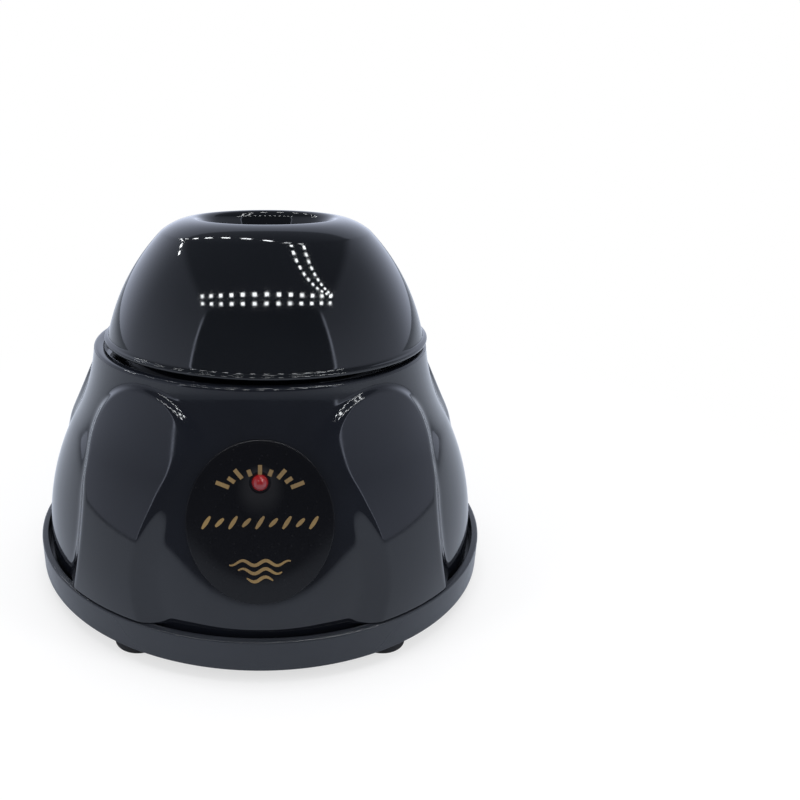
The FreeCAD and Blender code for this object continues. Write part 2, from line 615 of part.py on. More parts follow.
part("control_board", raised("control_board", "board", board_outline, "board_low", "board_thick"))
board_pieces = [Part.makeCylinder(size("capacitor_radius"), size("capacitor_tall"),
                                  Vector(-size("board_reach"), size("capacitor_along"),
                                         size("board_top")))]
board_pieces.append(board_piece(size("chip_wide"), size("chip_long"), size("chip_tall"),
                                0, -size("chip_along")))
for side in (-1, 1):
    start = Vector(side * size("resistor_across") - size("board_reach"),
                   -size("resistor_long") / 2, size("board_top") + size("resistor_radius"))
    board_pieces.append(Part.makeCylinder(size("resistor_radius"), size("resistor_long"), start,
                                          Vector(0, 1, 0)))
part("board_parts", shaped("board_parts", Part.makeCompound(board_pieces)))
board_screw = screw("board_screw_one", "board_head_top", "board_top", "board_screw_tip",
                    "board_screw_head", "board_screw")
board_screws = [moved(board_screw.Shape, Vector(size(across), size(along), 0))
                for across, along in BOARD_HOLES]
part("board_screws", shaped("board_screws", Part.makeCompound(board_screws)))


# Power inlet at the rear, turned about the inlet's own axis
INLET = Placement(Vector(0, size("jack_face"), size("jack_tall")), Rotation(Vector(1, 0, 0), -90))
jack = turned("dc_jack", [
    ("axis", "-jack_long"), ("jack_radius", "-jack_long"), ("jack_radius", "axis"),
    ("jack_flange", "axis"), ("jack_flange", "jack_flange_thick"),
    ("jack_bore", "jack_flange_thick"), ("jack_bore", "-jack_floor"),
    ("jack_pin_hole", "-jack_floor"), ("jack_pin_hole", "-jack_root"), ("axis", "-jack_root")])
jack.Placement = INLET
part("dc_jack", jack)
jack_pin = turned("jack_pin", [("axis", "-jack_root"), ("jack_pin_radius", "-jack_root"),
                               ("jack_pin_radius", "jack_pin_top"), ("axis", "jack_pin_top")])
jack_pin.Placement = INLET
part("jack_pin", jack_pin)
nut_body = doc.addObject("Part::Prism", "nut_hexagon")
nut_body.Polygon = 6
bind(nut_body, "Circumradius", "nut_radius")
bind(nut_body, "Height", "nut_thick")
nut_bore = doc.addObject("Part::Cylinder", "nut_bore")
bind(nut_bore, "Radius", "jack_hole")
bind(nut_bore, "Height", "nut_thick")
nut = doc.addObject("Part::Cut", "jack_nut")
nut.Base = nut_body
nut.Tool = nut_bore
nut.Placement = INLET * Placement(Vector(0, 0, -size("jack_wall") - size("nut_thick")), Rotation())
part("jack_nut", nut)


# Flat pads on the shell: X across, Y up the slope, Z outwards
def pad_place(low_radius, low_tall, high_radius, high_tall, tall, turn):
    """Placement on a tilted flat at a named height, facing the front turned about Z."""
    lean = (size(low_radius) - size(high_radius)) / (size(high_tall) - size(low_tall))
    reach = size(low_radius) - (size(tall) - size(low_tall)) * lean
    lie = Rotation(Vector(1, 0, 0), 90 - degrees(atan(lean)))
    tilt = Placement(Vector(0, -reach, size(tall)), lie)
    return Placement(Vector(), Rotation(Vector(0, 0, 1), turn)) * tilt


LABEL = ("pad_low_radius", "pad_low_tall", "pad_high_radius", "pad_high_tall")
REAR = ("rear_low_radius", "rear_low_tall", "rear_high_radius", "rear_high_tall")
LABEL_PLACE = pad_place(*LABEL, "label_tall", 0)
ROCKER_PLACE = pad_place(*REAR, "rocker_tall", 180)

# Rocker switch
switch = raised("power_switch_case", "bezel",
                lambda sketch: polygon(sketch, corners_of("bezel_half", "bezel_half_long")),
                "axis", "bezel_thick")


def upright_corner(edge):
    """Test for an edge along Z."""
    return edge.tangentAt(edge.FirstParameter).cross(Vector(0, 0, 1)).Length < 1e-6


rounded(switch, "bezel_corners", "bezel_round", upright_corner)
raised(switch, "case", lambda sketch: polygon(sketch, corners_of("case_half", "case_half_long")),
       "-case_deep", "case_deep")
sunk(switch, "switch_mouth",
     lambda sketch: polygon(sketch, corners_of("mouth_half", "mouth_half_long")),
     "-mouth_floor", "mouth_deep")


def across_pad(body, label, draw, length, cut=False):
    """Pad or pocket of a sketch on the YZ plane, even about it."""
    sketch = new_sketch(body, "YZ_Plane", label + "_outline")
    draw(sketch)
    doc.recompute()
    feature = body.newObject("PartDesign::Pocket" if cut else "PartDesign::Pad", label)
    feature.Profile = sketch
    feature.Midplane = True
    bind(feature, "Length", length)
    body.Tip = feature
    doc.recompute()
    return body


across_pad(switch, "pivot_bores", lambda sketch: circles(sketch, [("axis", "pivot_level")],
                                                         "pivot_hole"), "2 * pivot_bore", True)
switch.Placement = ROCKER_PLACE
part("power_switch_case", switch)
rocker = doc.addObject("PartDesign::Body", "rocker_button")
across_pad(rocker, "rocker", lambda sketch: polygon(sketch, [
    ("-rocker_half", "ear_level"), ("-rocker_half", "-wing_level"), ("-keel_half", "-keel_level"),
    ("keel_half", "-keel_level"), ("rocker_half", "-wing_level"), ("rocker_half", "ear_level"),
    ("axis", "dip_level")]), "rocker_wide")
across_pad(rocker, "trunnions", lambda sketch: circles(sketch, [("axis", "pivot_level")],
                                                       "pivot_radius"), "2 * pivot_reach")
TIP_AT = Vector(0, 0, size("pivot_level"))
tipped = Placement(Vector(), Rotation(Vector(1, 0, 0), size("rocker_tilt")), TIP_AT)
rocker.Placement = ROCKER_PLACE * tipped
part("rocker_button", rocker)
lugs = []
for i in (-1, 0, 1):
    corner = Vector(-size("lug_wide") / 2, i * size("lug_pitch") - size("lug_thick") / 2,
                    -size("case_deep") - size("lug_long"))
    lugs.append(Part.makeBox(size("lug_wide"), size("lug_thick"), size("lug_long"), corner))
part("switch_terminals", shaped("switch_terminals", Part.makeCompound(lugs), ROCKER_PLACE))


# Sprung cradle that hangs the motor
def pattern_hole(body, label, reach, radius, low, length, count, turn):
    """Ring of round holes at a named reach."""
    return sunk(body, label, lambda sketch: circles(sketch, [(reach, "axis")], radius), low, length,
                count, turn)


cradle = turned("motor_cradle", [
    ("boss_bore", "cradle_top"), ("cradle_radius", "cradle_top"), ("cradle_radius", "cradle_low"),
    ("cradle_sleeve", "cradle_low"), ("cradle_sleeve", "sleeve_low"), ("sleeve_bore", "sleeve_low"),
    ("sleeve_bore", "cradle_low"), ("boss_bore", "cradle_low")])
pattern_hole(cradle, "guide_holes", "standoff_reach", "guide_hole", "cradle_low", "cradle_thick",
             "support_count", TURN)
pattern_hole(cradle, "pin_holes", "standoff_reach", "pin_hole", "cradle_low", "cradle_thick",
             "support_count", size("pin_turn"))
pattern_hole(cradle, "windows", "cradle_window_reach", "cradle_window", "cradle_low",
             "cradle_thick", "window_count", 0)
MOTOR_SCREWS = [("motor_screw_reach", "axis"), ("-motor_screw_reach", "axis")]
sunk(cradle, "motor_holes", lambda sketch: circles(sketch, MOTOR_SCREWS, "motor_screw_hole"),
     "cradle_low", "cradle_thick")
sunk(cradle, "motor_recesses", lambda sketch: circles(sketch, MOTOR_SCREWS, "motor_recess"),
     "motor_head_low", "motor_head_thick")
part("motor_cradle", cradle)
pin = screw("anti_turn_pin", "pin_head_top", "pin_tall", "cradle_low", "pin_head", "pin_core")
ring_group("anti_turn_pins", pin, size("standoff_reach"), size("pin_turn"), SUPPORTS)
sleeve = turned("pin_sleeve_one", [("pin_hole", "cradle_top"), ("pin_sleeve", "cradle_top"),
                                   ("pin_sleeve", "sleeve_top"), ("pin_hole", "sleeve_top")])
ring_group("pin_sleeves", sleeve, size("standoff_reach"), size("pin_turn"), SUPPORTS)

# Motor housing
can = turned("motor_can", [
    ("can_inner", "can_low"), ("motor_radius", "can_low"), ("motor_radius", "motor_high"),
    ("motor_boss", "motor_high"), ("motor_boss", "boss_top"), ("bore_radius", "boss_top"),
    ("bore_radius", "can_roof"), ("can_inner", "can_roof")])
sunk(can, "can_holes", lambda sketch: circles(sketch, MOTOR_SCREWS, "motor_screw_hole"),
     "can_roof", "motor_wall")
part("motor_can", can)
motor_screw = screw("motor_screw", "cradle_top", "motor_head_low", "motor_screw_tip",
                    "motor_screw_head", "motor_screw_shank")
ring_group("motor_screws", motor_screw, size("motor_screw_reach"), 0, len(MOTOR_SCREWS))
magnet_top = size("magnet_low") + size("magnet_long")
magnet_ring = tube(size("plug_radius"), size("magnet_inner"), size("magnet_low"), magnet_top)
magnet_slot = block((-size("motor_radius"), -size("magnet_slot") / 2, size("magnet_low")),
                    (size("motor_radius"), size("magnet_slot") / 2, magnet_top))
part("motor_magnets", shaped("motor_magnets", magnet_ring.cut(magnet_slot)))


def tab_slots(sketch):
    """Slots of the two terminals."""
    polygon(sketch, [("tab_slot_in", "-tab_slot_half"), ("tab_slot_out", "-tab_slot_half"),
                     ("tab_slot_out", "tab_slot_half"), ("tab_slot_in", "tab_slot_half")])
    polygon(sketch, [("-tab_slot_out", "-tab_slot_half"), ("-tab_slot_in", "-tab_slot_half"),
                     ("-tab_slot_in", "tab_slot_half"), ("-tab_slot_out", "tab_slot_half")])


cap = turned("motor_end_cap", [
    ("axis", "cap_low"), ("cap_boss", "cap_low"), ("cap_boss", "motor_low"),
    ("motor_radius", "motor_low"), ("motor_radius", "can_low"), ("plug_radius", "can_low"),
    ("plug_radius", "plug_top"), ("bore_radius", "plug_top"), ("bore_radius", "cap_bore"),
    ("axis", "cap_bore")])
sunk(cap, "terminal_slots", tab_slots, "motor_low", "plug_top - motor_low")
part("motor_end_cap", cap)
brushes = []
tabs = []
for side in (0, 180):
    brush = block((size("brush_inner"), -size("brush_wide") / 2, size("brush_low")),
                  (size("tab_inner"), size("brush_wide") / 2, size("brush_top")))
    tab = block((size("tab_inner"), -size("tab_half"), size("tab_foot")),
                (size("tab_outer"), size("tab_half"), size("brush_top")))
    brushes = brushes + around(brush, 1, side)
    tabs = tabs + around(tab, 1, side)
part("motor_brushes", shaped("motor_brushes", Part.makeCompound(brushes)))
part("motor_terminals", shaped("motor_terminals", Part.makeCompound(tabs)))

# Rotor: shaft, armature, commutator
part("motor_shaft", turned("motor_shaft", [
    ("axis", "shaft_low"), ("shaft_radius", "shaft_low"), ("shaft_radius", "shaft_top"),
    ("axis", "shaft_top")]))
core = turned("armature_core", [("bore_radius", "core_low"), ("core_radius", "core_low"),
                                ("core_radius", "core_top"), ("bore_radius", "core_top")])


def slot_mouth(sketch):
    """Narrow mouth of a winding slot."""
    polygon(sketch, [("slot_reach", "-slot_half"), ("motor_radius", "-slot_half"),
                     ("motor_radius", "slot_half"), ("slot_reach", "slot_half")])


pattern_hole(core, "slots", "slot_reach", "slot_round", "core_low", "core_long", "core_slots", 0)
sunk(core, "slot_mouths", slot_mouth, "core_low", "core_long", "core_slots")
part("armature_core", core)
windings = turned("armature_windings", [
    ("winding_inner", "winding_low"), ("winding_radius", "winding_low"),
    ("winding_radius", "core_low"), ("winding_inner", "core_low")])
bundle = Part.makeCylinder(size("slot_round") - size("winding_gap"), size("core_long"),
                           Vector(size("slot_reach"), 0, size("core_low")))
coils = windings.Shape.multiFuse(around(bundle, int(size("core_slots"))) + [
    moved(windings.Shape, Vector(0, 0, size("core_long") + size("winding_tall")))])
part("armature_windings", shaped("armature_windings_joined", coils))
windings.Label = "winding_head"
parts[-1].Label = "armature_windings"
commutator = turned("commutator", [
    ("bore_radius", "commutator_low"), ("commutator_radius", "commutator_low"),
    ("commutator_radius", "commutator_top"), ("bore_radius", "commutator_top")])
sunk(commutator, "slits", lambda sketch: polygon(sketch, [
    ("commutator_root", "-commutator_slit"), ("brush_inner", "-commutator_slit"),
    ("brush_inner", "commutator_slit"), ("commutator_root", "commutator_slit")]),
     "commutator_low", "commutator_top - commutator_low", "core_slots")
part("commutator", commutator)

# Eccentric hub, set screw and counterweight
hub = turned("eccentric_hub", [("axis", "hub_low"), ("hub_radius", "hub_low"),
                               ("hub_radius", "hub_top"), ("axis", "hub_top")])
raised(hub, "bearing_seat", lambda sketch: circles(sketch, [("throw", "axis")], "seat_radius"),
       "hub_top", "seat_tall")
raised(hub, "eccentric_pin", lambda sketch: circles(sketch, [("throw", "axis")], "pin_radius"),
       "bearing_low", "pin_top - bearing_low")
sunk(hub, "shaft_bore", lambda sketch: circles(sketch, [("axis", "axis")], "bore_radius"),
     "hub_low", "hub_bore_top - hub_low")


def side_hole(body, label, radius, length):
    """Round hole from the axis towards +X at the hub's middle."""
    sketch = new_sketch(body, "YZ_Plane", label + "_outline")
    circles(sketch, [("axis", "hub_mid")], radius)
    doc.recompute()
    before = body.Shape.Volume
    pocket = body.newObject("PartDesign::Pocket", label)
    pocket.Profile = sketch
    pocket.Reversed = True
    bind(pocket, "Length", length)
    body.Tip = pocket
    doc.recompute()
    if body.Shape.Volume > before - LEAST_CUT:
        raise RuntimeError("pocket cuts nothing: " + label)
    return body


part("eccentric_hub", side_hole(hub, "grub_bore", "grub_hole", "hub_radius"))
grub = doc.addObject("Part::Cylinder", "set_screw")
bind(grub, "Radius", "grub_radius")
bind(grub, "Height", "grub_long")
grub.Placement = Placement(Vector(size("grub_start"), 0, size("hub_mid")),
                           Rotation(Vector(0, 1, 0), 90))
part("set_screw", grub)
weight = turned("counterweight", [("weight_bore", "weight_low"), ("weight_ring", "weight_low"),
                                  ("weight_ring", "weight_top"), ("weight_bore", "weight_top")])
sector = new_sketch(weight, "XZ_Plane", "weight_section")
polygon(sector, [("-weight_outer", "weight_low"), ("-weight_bore", "weight_low"),
                 ("-weight_bore", "weight_top"), ("-weight_outer", "weight_top")])
sweep = weight.newObject("PartDesign::Revolution", "weight_sector")
sweep.Profile = sector
sweep.ReferenceAxis = (sector, ["V_Axis"])
sweep.Midplane = True
bind(sweep, "Angle", "2 * weight_half_angle")
weight.Tip = sweep
doc.recompute()
part("counterweight", side_hole(weight, "grub_access", "weight_access", "weight_outer"))


# Ball bearing on the eccentric pin
def race(label, plain, grooved):
    """Bearing ring between a plain radius and the one that holds the ball groove."""
    low, middle, high = size("bearing_low"), size("bearing_mid"), size("bearing_top")
    gap = abs(size(grooved) - size("ball_reach"))
    half = sqrt(size("race_radius") ** 2 - gap ** 2)
    deep = size("ball_reach") + (size("race_radius") if grooved == "race_outer"
                                 else -size("race_radius"))
    groove = arc(in_section(size(grooved), middle + half), in_section(deep, middle),
                 in_section(size(grooved), middle - half))
    corners = [in_section(size(grooved), middle - half), in_section(size(grooved), low),
               in_section(size(plain), low), in_section(size(plain), high),
               in_section(size(grooved), high), in_section(size(grooved), middle + half)]
    shape = turn_edges(chain(corners) + [groove])
    return part(label, shaped(label, shape, Placement(THROW, Rotation())))


race("bearing_inner_ring", "race_bore", "race_inner")
race("bearing_outer_ring", "bearing_outer", "race_outer")
ball = Part.makeSphere(size("ball_radius"), Vector(size("ball_reach"), 0, size("bearing_mid")))
ball_ring = Part.makeCompound(around(ball, int(size("ball_count"))))
part("bearing_balls", shaped("bearing_balls", ball_ring, Placement(THROW, Rotation())))

# Head carrier over the bearing
carrier = turned("head_carrier", [
    ("carrier_bore", "carrier_foot"), ("carrier_hub", "carrier_foot"),
    ("carrier_hub", "carrier_low"),
    ("carrier_radius", "carrier_low"), ("carrier_radius", "carrier_top"),
    ("carrier_hub", "carrier_top"), ("carrier_hub", "lip_top"), ("carrier_lip", "lip_top"),
    ("carrier_lip", "carrier_lid"), ("carrier_bore", "carrier_lid")])
pattern_hole(carrier, "wander_holes", "standoff_reach", "wander_hole", "carrier_low",
             "carrier_thick", "support_count", size("pin_turn"))
pattern_hole(carrier, "carrier_holes", "standoff_reach", "carrier_screw_hole", "carrier_low",
             "carrier_thick", "support_count", TURN)
ribs = new_sketch(carrier, "XY_Plane", "rib_outline", "carrier_top")
polygon(ribs, [("carrier_bore", "-rib_half"), ("rib_end", "-rib_half"), ("rib_end", "rib_half"),
               ("carrier_bore", "rib_half")])
rib = carrier.newObject("PartDesign::Pad", "rib")
rib.Profile = ribs
bind(rib, "Length", "rib_tall")
doc.recompute()
rib_round = carrier.newObject("PartDesign::PolarPattern", "ribs_round")
rib_round.Originals = [rib]
rib_round.Axis = (origin_part(carrier, "Z_Axis"), [""])
rib_round.Angle = 360
bind(rib_round, "Occurrences", "rib_count")
carrier.Tip = rib_round
doc.recompute()
carrier.Placement = Placement(THROW, Rotation())
part("head_carrier", carrier)
carrier_screw = screw("carrier_screw_one", "carrier_head_low", "carrier_low", "carrier_tip",
                      "carrier_screw_head", "carrier_screw")
ring_group("carrier_screws", carrier_screw, size("standoff_reach"), TURN, SUPPORTS)
parts[-1].Placement = Placement(THROW, Rotation())


# Dome: outer and inner turned sections, the cup, and three screw bosses
def about(centre, point, radius):
    """Point on the line from a centre through a point, at a radius."""
    return centre + (point - centre).normalize() * radius


def dome():
    """Dome cap about its own axis."""
    wall = size("dome_wall")
    lip_in = in_section(size("lip_radius") - wall, size("lip_low"))
    lip_out = in_section(size("lip_radius"), size("lip_low"))
    lip_high = in_section(size("lip_radius"), size("lip_low") + size("lip_tall"))
    brow = in_section(size("brow_radius"), size("brow_tall"))
    middle = in_section(size("dome_mid_radius"), size("dome_mid_tall"))
    fold = in_section(size("fold_radius"), size("fold_tall"))
    shoulder = in_section(size("shoulder_radius"), size("shoulder_tall"))
    crest = in_section(size("crest_radius"), size("total_tall"))
    mouth = in_section(size("mouth_radius"), size("mouth_tall"))
    cup_mid = in_section(size("cup_mid_radius"), size("cup_mid_tall"))
    cup_foot = in_section(size("cup_foot_radius"), size("cup_floor_tall"))
    floor = in_section(0, size("cup_floor_tall"))
    foot = in_section(0, size("lip_low"))
    lip_turn = (crest + mouth) / 2 + in_section(0, (crest.z - mouth.z) / 4)
    outside = turn_edges(
        chain([floor, foot, lip_out, lip_high, brow]) + [arc(brow, middle, fold)]
        + [arc(fold, shoulder, crest), arc(crest, lip_turn, mouth), arc(mouth, cup_mid, cup_foot)]
        + chain([cup_foot, floor]))
    centre = arc(brow, middle, fold).Curve.Center
    inner = (brow - centre).Length - wall
    brow_in = about(centre, brow, inner)
    fold_in = about(centre, fold, inner)
    brow_foot = in_section(min(brow_in.x, lip_in.x), lip_in.z)
    roof = size("mouth_tall") - wall / 2
    room = turn_edges(
        chain([in_section(0, roof), foot, brow_foot, brow_in])
        + [arc(brow_in, about(centre, middle, inner), fold_in)]
        + chain([fold_in, in_section(size("mouth_radius") + wall, roof), in_section(0, roof)]))
    cup_wall = size("cup_wall")
    thick = size("cup_floor_thick")
    cup_heel = cup_foot + in_section(cup_wall / 2, -thick)
    cup_back = cup_mid + in_section(cup_wall, -cup_wall / 2)
    cup = turn_edges(
        chain([in_section(0, mouth.z + wall), in_section(0, floor.z - thick), cup_heel])
        + [arc(cup_heel, cup_back, mouth + in_section(cup_wall, 0))]
        + chain([mouth + in_section(cup_wall, 0), in_section(mouth.x + cup_wall, mouth.z + wall),
                 in_section(0, mouth.z + wall)]))
    boss = Part.makeCylinder(size("dome_boss"), size("total_tall") - size("carrier_top"),
                             Vector(size("standoff_reach"), 0, size("carrier_top")))
    bosses = around(boss, SUPPORTS, TURN)
    bore = Part.makeCylinder(size("carrier_screw_hole"), size("dome_bore") - size("carrier_top"),
                             Vector(size("standoff_reach"), 0, size("carrier_top")))
    hollow = room.cut(cup).cut(Part.makeCompound(bosses))
    return outside.cut(hollow).cut(Part.makeCompound(around(bore, SUPPORTS, TURN)))


part("dome_cap", shaped("dome_cap", dome(), Placement(THROW, Rotation())))


# Body shell: bell, raised panels, deck, collar, flats and holes
def flank(low, middle, knee, top, inset):
    """Two tangent arcs up a flank, moved inwards: one through three points, one on to the top."""
    centre = arc(low, middle, knee).Curve.Center
    radius = (low - centre).Length
    outward = (knee - centre).normalize()
    chord = top - knee
    reach = chord.dot(chord) / (2 * outward.dot(chord))
    upper = knee + outward * reach
    bend = abs(reach)
    upper_radius = bend + (inset if reach > 0 else -inset)
    between = upper + ((knee - upper).normalize() + (top - upper).normalize()).normalize() * bend
    spots = [about(centre, spot, radius - inset) for spot in (low, middle, knee)]
    ends = [about(upper, spot, upper_radius) for spot in (between, top)]
    return [arc(spots[0], spots[1], spots[2]), arc(spots[2], ends[0], ends[1])], spots[0], ends[1]


def bell_side(inset):
    """Flank of the bell between the panels."""
    return flank(in_section(size("skirt_radius"), size("tray_top")),
                 in_section(size("belly_radius"), size("belly_tall")),
                 in_section(size("knee_radius"), size("knee_tall")),
                 in_section(size("neck_radius"), size("shell_tall") - size("neck_round")), inset)


def panel_side(inset):
    """Flank of the raised panels."""
    return flank(in_section(size("panel_radius"), size("panel_low")),
                 in_section(size("panel_belly"), size("belly_tall")),
                 in_section(size("panel_knee"), size("knee_tall")),
                 in_section(size("panel_crown"), size("panel_crown_tall")), inset)


def panel_wire(out, inset):
    """Outline of the front panel in a plane that lies out from the panel's own by a distance."""
    low = size("panel_low")
    rise = size("panel_crown_tall") - low
    run = size("panel_radius") - size("panel_crown")
    slope = hypot(rise, run)
    up = Vector(0, run / slope, rise / slope)
    outward = Vector(0, -rise / slope, run / slope)
    head = (size("panel_head_tall") - low) * slope / rise
    crown = (size("panel_arch_tall") - low) * slope / rise
    foot_half = size("panel_foot_half")
    head_half = size("panel_head_half")
    centre = (crown ** 2 - head ** 2 - head_half ** 2) / (2 * (crown - head))
    spread = -size("bevel_rate") * out - inset
    rate = (head_half - foot_half) / head
    half = foot_half + spread * hypot(1, rate)
    radius = crown - centre + spread
    mixed = centre - half * rate
    steep = 1 + rate ** 2
    corner = (mixed + sqrt(mixed ** 2 - steep * (half ** 2 + centre ** 2 - radius ** 2))) / steep
    base = Vector(0, -size("panel_radius"), low) + outward * out

    def spot(across, along):
        return base + Vector(across, 0, 0) + up * along

    below = -size("panel_below")
    left_low = spot(-half - rate * below, below)
    right_low = spot(half + rate * below, below)
    left_high = spot(-half - rate * corner, corner)
    right_high = spot(half + rate * corner, corner)
    edges = chain([left_low, right_low, right_high])
    edges.append(arc(right_high, spot(0, centre + radius), left_high))
    return Part.Wire(edges + chain([left_high, left_low]))


def panels(low, out, into, wall, inset):
    """Raised panels all round, between two offsets from the panel plane."""
    side, start, end = panel_side(wall)
    ring = turn_edges(chain([end, in_section(0, end.z), in_section(0, low),
                             in_section(start.x, low), start]) + side)
    cutter = Part.makeLoft([panel_wire(out, inset), panel_wire(-into, inset)], True, True)
    return around(ring.common(cutter), int(size("panel_count")), size("panel_turn"))


def beyond(names, wall, half_wide, room):
    """Slab outside a tilted flat that is moved inwards by a wall; X across, Z outwards."""
    lean = (size(names[0]) - size(names[2])) / (size(names[3]) - size(names[1]))
    long = (size(names[3]) - size(names[1])) * hypot(1, lean)
    slab = Part.makeBox(2 * half_wide, long, room, Vector(-half_wide, 0, -wall))
    return slab


def body_shell():
    """Bell with its panels, hollowed, with the deck, collar, bosses, flats and holes."""
    floor = size("floor_top")
    side, start, end = bell_side(0)
    edge = size("neck_round")
    neck = in_section(size("neck_radius") - edge, size("shell_tall"))
    swing = neck + in_section(edge * sin(pi / 4), edge * cos(pi / 4) - edge)
    bell = turn_edges(chain([in_section(0, size("shell_tall")), in_section(0, floor),
                             in_section(size("skirt_radius"), floor), start]) + side
                      + [arc(end, swing, neck)] + chain([neck, in_section(0, size("shell_tall"))]))
    bell.rotate(Vector(), Vector(0, 0, 1), SEAM_TURN)
    outer = bell.multiFuse(panels(size("panel_low"), size("panel_out"), size("panel_in"), 0, 0))
    room = size("tray_radius")
    label_slab = beyond(LABEL, 0, room, room)
    label_slab.Placement = pad_place(*LABEL, "pad_low_tall", 0)
    rear_slab = beyond(REAR, 0, size("rear_pad_wide") / 2, room)
    rear_slab.Placement = pad_place(*REAR, "rear_low_tall", 180)
    spot = Part.makeCylinder(size("jack_spot"), room)
    spot.Placement = INLET
    outer = outer.cut(Part.makeCompound([label_slab, rear_slab, spot]))
    wall = size("shell_wall")
    inside, foot, head = bell_side(wall)
    void = turn_edges(chain([head, in_section(0, head.z), in_section(0, 0), in_section(foot.x, 0),
                             foot]) + inside)
    void.rotate(Vector(), Vector(0, 0, 1), SEAM_TURN)
    void = void.multiFuse(panels(size("panel_low") + wall, size("panel_core_out"), size("panel_in"),
                                 wall, size("panel_core_inset")))
    label_back = beyond(LABEL, wall, room, room)
    label_back.Placement = pad_place(*LABEL, "pad_low_tall", 0)
    rear_back = beyond(REAR, wall, size("rear_pad_wide") / 2 + size("rear_land"), room)
    rear_back.Placement = pad_place(*REAR, "rear_low_tall", 180)
    land = Part.makeCylinder(size("jack_land"), room, Vector(0, 0, -size("jack_wall")))
    land.Placement = INLET
    above = Part.makeCylinder(room, room, Vector(0, 0, size("deck_low")))
    boss = Part.makeCylinder(size("fixing_boss"), size("fixing_boss_tall"),
                             Vector(size("fixing_reach"), 0, floor))
    keep = [label_back, rear_back, land, above] + around(boss, SUPPORTS, TURN)
    void = void.cut(Part.makeCompound(keep[:4])).cut(Part.makeCompound(keep[4:]))
    shell = outer.cut(void)
    shell = shell.cut(Part.makeCylinder(size("rim_inner"), room, Vector(0, 0, size("deck_top"))))
    shell = shell.cut(Part.makeCylinder(size("deck_inner"), room, Vector(0, 0, floor + wall))
                      .common(Part.makeCylinder(room, room, Vector(0, 0, size("deck_low") - wall))))
    shell = shell.fuse(tube(size("collar_outer"), size("deck_inner"), size("deck_low"),
                            size("collar_tall")))
    bore = Part.makeCylinder(size("fixing_hole"), size("fixing_bore"),
                             Vector(size("fixing_reach"), 0, floor))
    inlet = Part.makeCylinder(size("jack_hole"), 2 * size("jack_long"),
                              Vector(0, 0, -size("jack_long")))
    inlet.Placement = INLET
    half = size("case_half") + size("case_gap")
    half_long = size("case_half_long") + size("case_gap")
    opening = block((-half, -half_long, -size("case_deep")), (half, half_long, size("case_deep")))
    opening.Placement = ROCKER_PLACE
    eye = Part.makeCylinder(size("led_radius") + size("led_gap"), 4 * wall,
                            Vector(0, size("led_up"), -2 * wall))
    eye.Placement = LABEL_PLACE
    holes = around(bore, SUPPORTS, TURN) + [inlet, opening, eye]
    return shell.cut(Part.makeCompound(holes))


part("body_shell", shaped("body_shell", body_shell()))


# Label plate and power light on the front flat
def label_plate():
    """Oval plate with the light's hole, about the flat's own frame."""
    wide, long = size("label_wide") / 2, size("label_long") / 2
    oval = Part.Ellipse(Vector(0, long, 0), Vector(wide, 0, 0), Vector())
    plate = Part.Face(Part.Wire([oval.toShape()])).extrude(Vector(0, 0, size("label_thick")))
    hole = Part.makeCylinder(size("led_hole"), size("label_thick"), Vector(0, size("led_up"), 0))
    return plate.cut(hole)


def power_led():
    """Round light with its flange behind the wall and two leads."""
    radius = size("led_radius")
    back = -size("shell_wall")
    thick = size("led_flange_thick")
    seat = Vector(0, size("led_up"), 0)
    stem = Part.makeCylinder(radius, size("led_proud") - radius - back, seat + Vector(0, 0, back))
    tip = Part.makeSphere(radius, seat + Vector(0, 0, size("led_proud") - radius))
    flange = Part.makeCylinder(size("led_flange"), thick, seat + Vector(0, 0, back - thick))
    leads = []
    for side in (-1, 1):
        start = seat + Vector(side * size("lead_pitch"), 0, back - thick - size("lead_long"))
        leads.append(Part.makeCylinder(size("lead_radius"), size("lead_long"), start))
    return stem.multiFuse([tip, flange] + leads)


part("label_plate", shaped("label_plate", label_plate(), LABEL_PLACE))
part("power_led", shaped("power_led", power_led(), LABEL_PLACE))

# Every object must be sound before anything is written
doc.recompute()
for thing in doc.Objects:
    if "Invalid" in thing.State or "Error" in thing.State:
        raise RuntimeError("failed: %s %s" % (thing.Label, thing.State))
for body in parts:
    if body.Shape.isNull() or not body.Shape.isValid():
        raise RuntimeError("bad shape: " + body.Label)
os.makedirs("parts", exist_ok=True)
for body in parts:
    body.Shape.exportStep("parts/%s.step" % body.Label)
pivot = ROCKER_PLACE.multVec(TIP_AT)
print("rocker's pivot: %.3f, %.3f, %.3f" % (pivot.x, pivot.y, pivot.z))
print("%d sub-parts written" % len(parts))
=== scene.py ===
"""Looks of a bench shaker for nail polish bottles: a glossy bell body on a satin foot ring,
a loose dome with a cup in its top, an oval label with a red light, and the works inside.

Sizes are in millimetres unless a name says otherwise, and the surfaces are built in metres in
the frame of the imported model: +Z up, the front towards -Y, the origin at the bottom centre.
"""

import logging
from dataclasses import dataclass, field
from enum import Enum
from math import atan2, cos, degrees, hypot, pi, radians, sin

import bmesh
import bpy
import numpy as np
from mathutils import Matrix, Vector

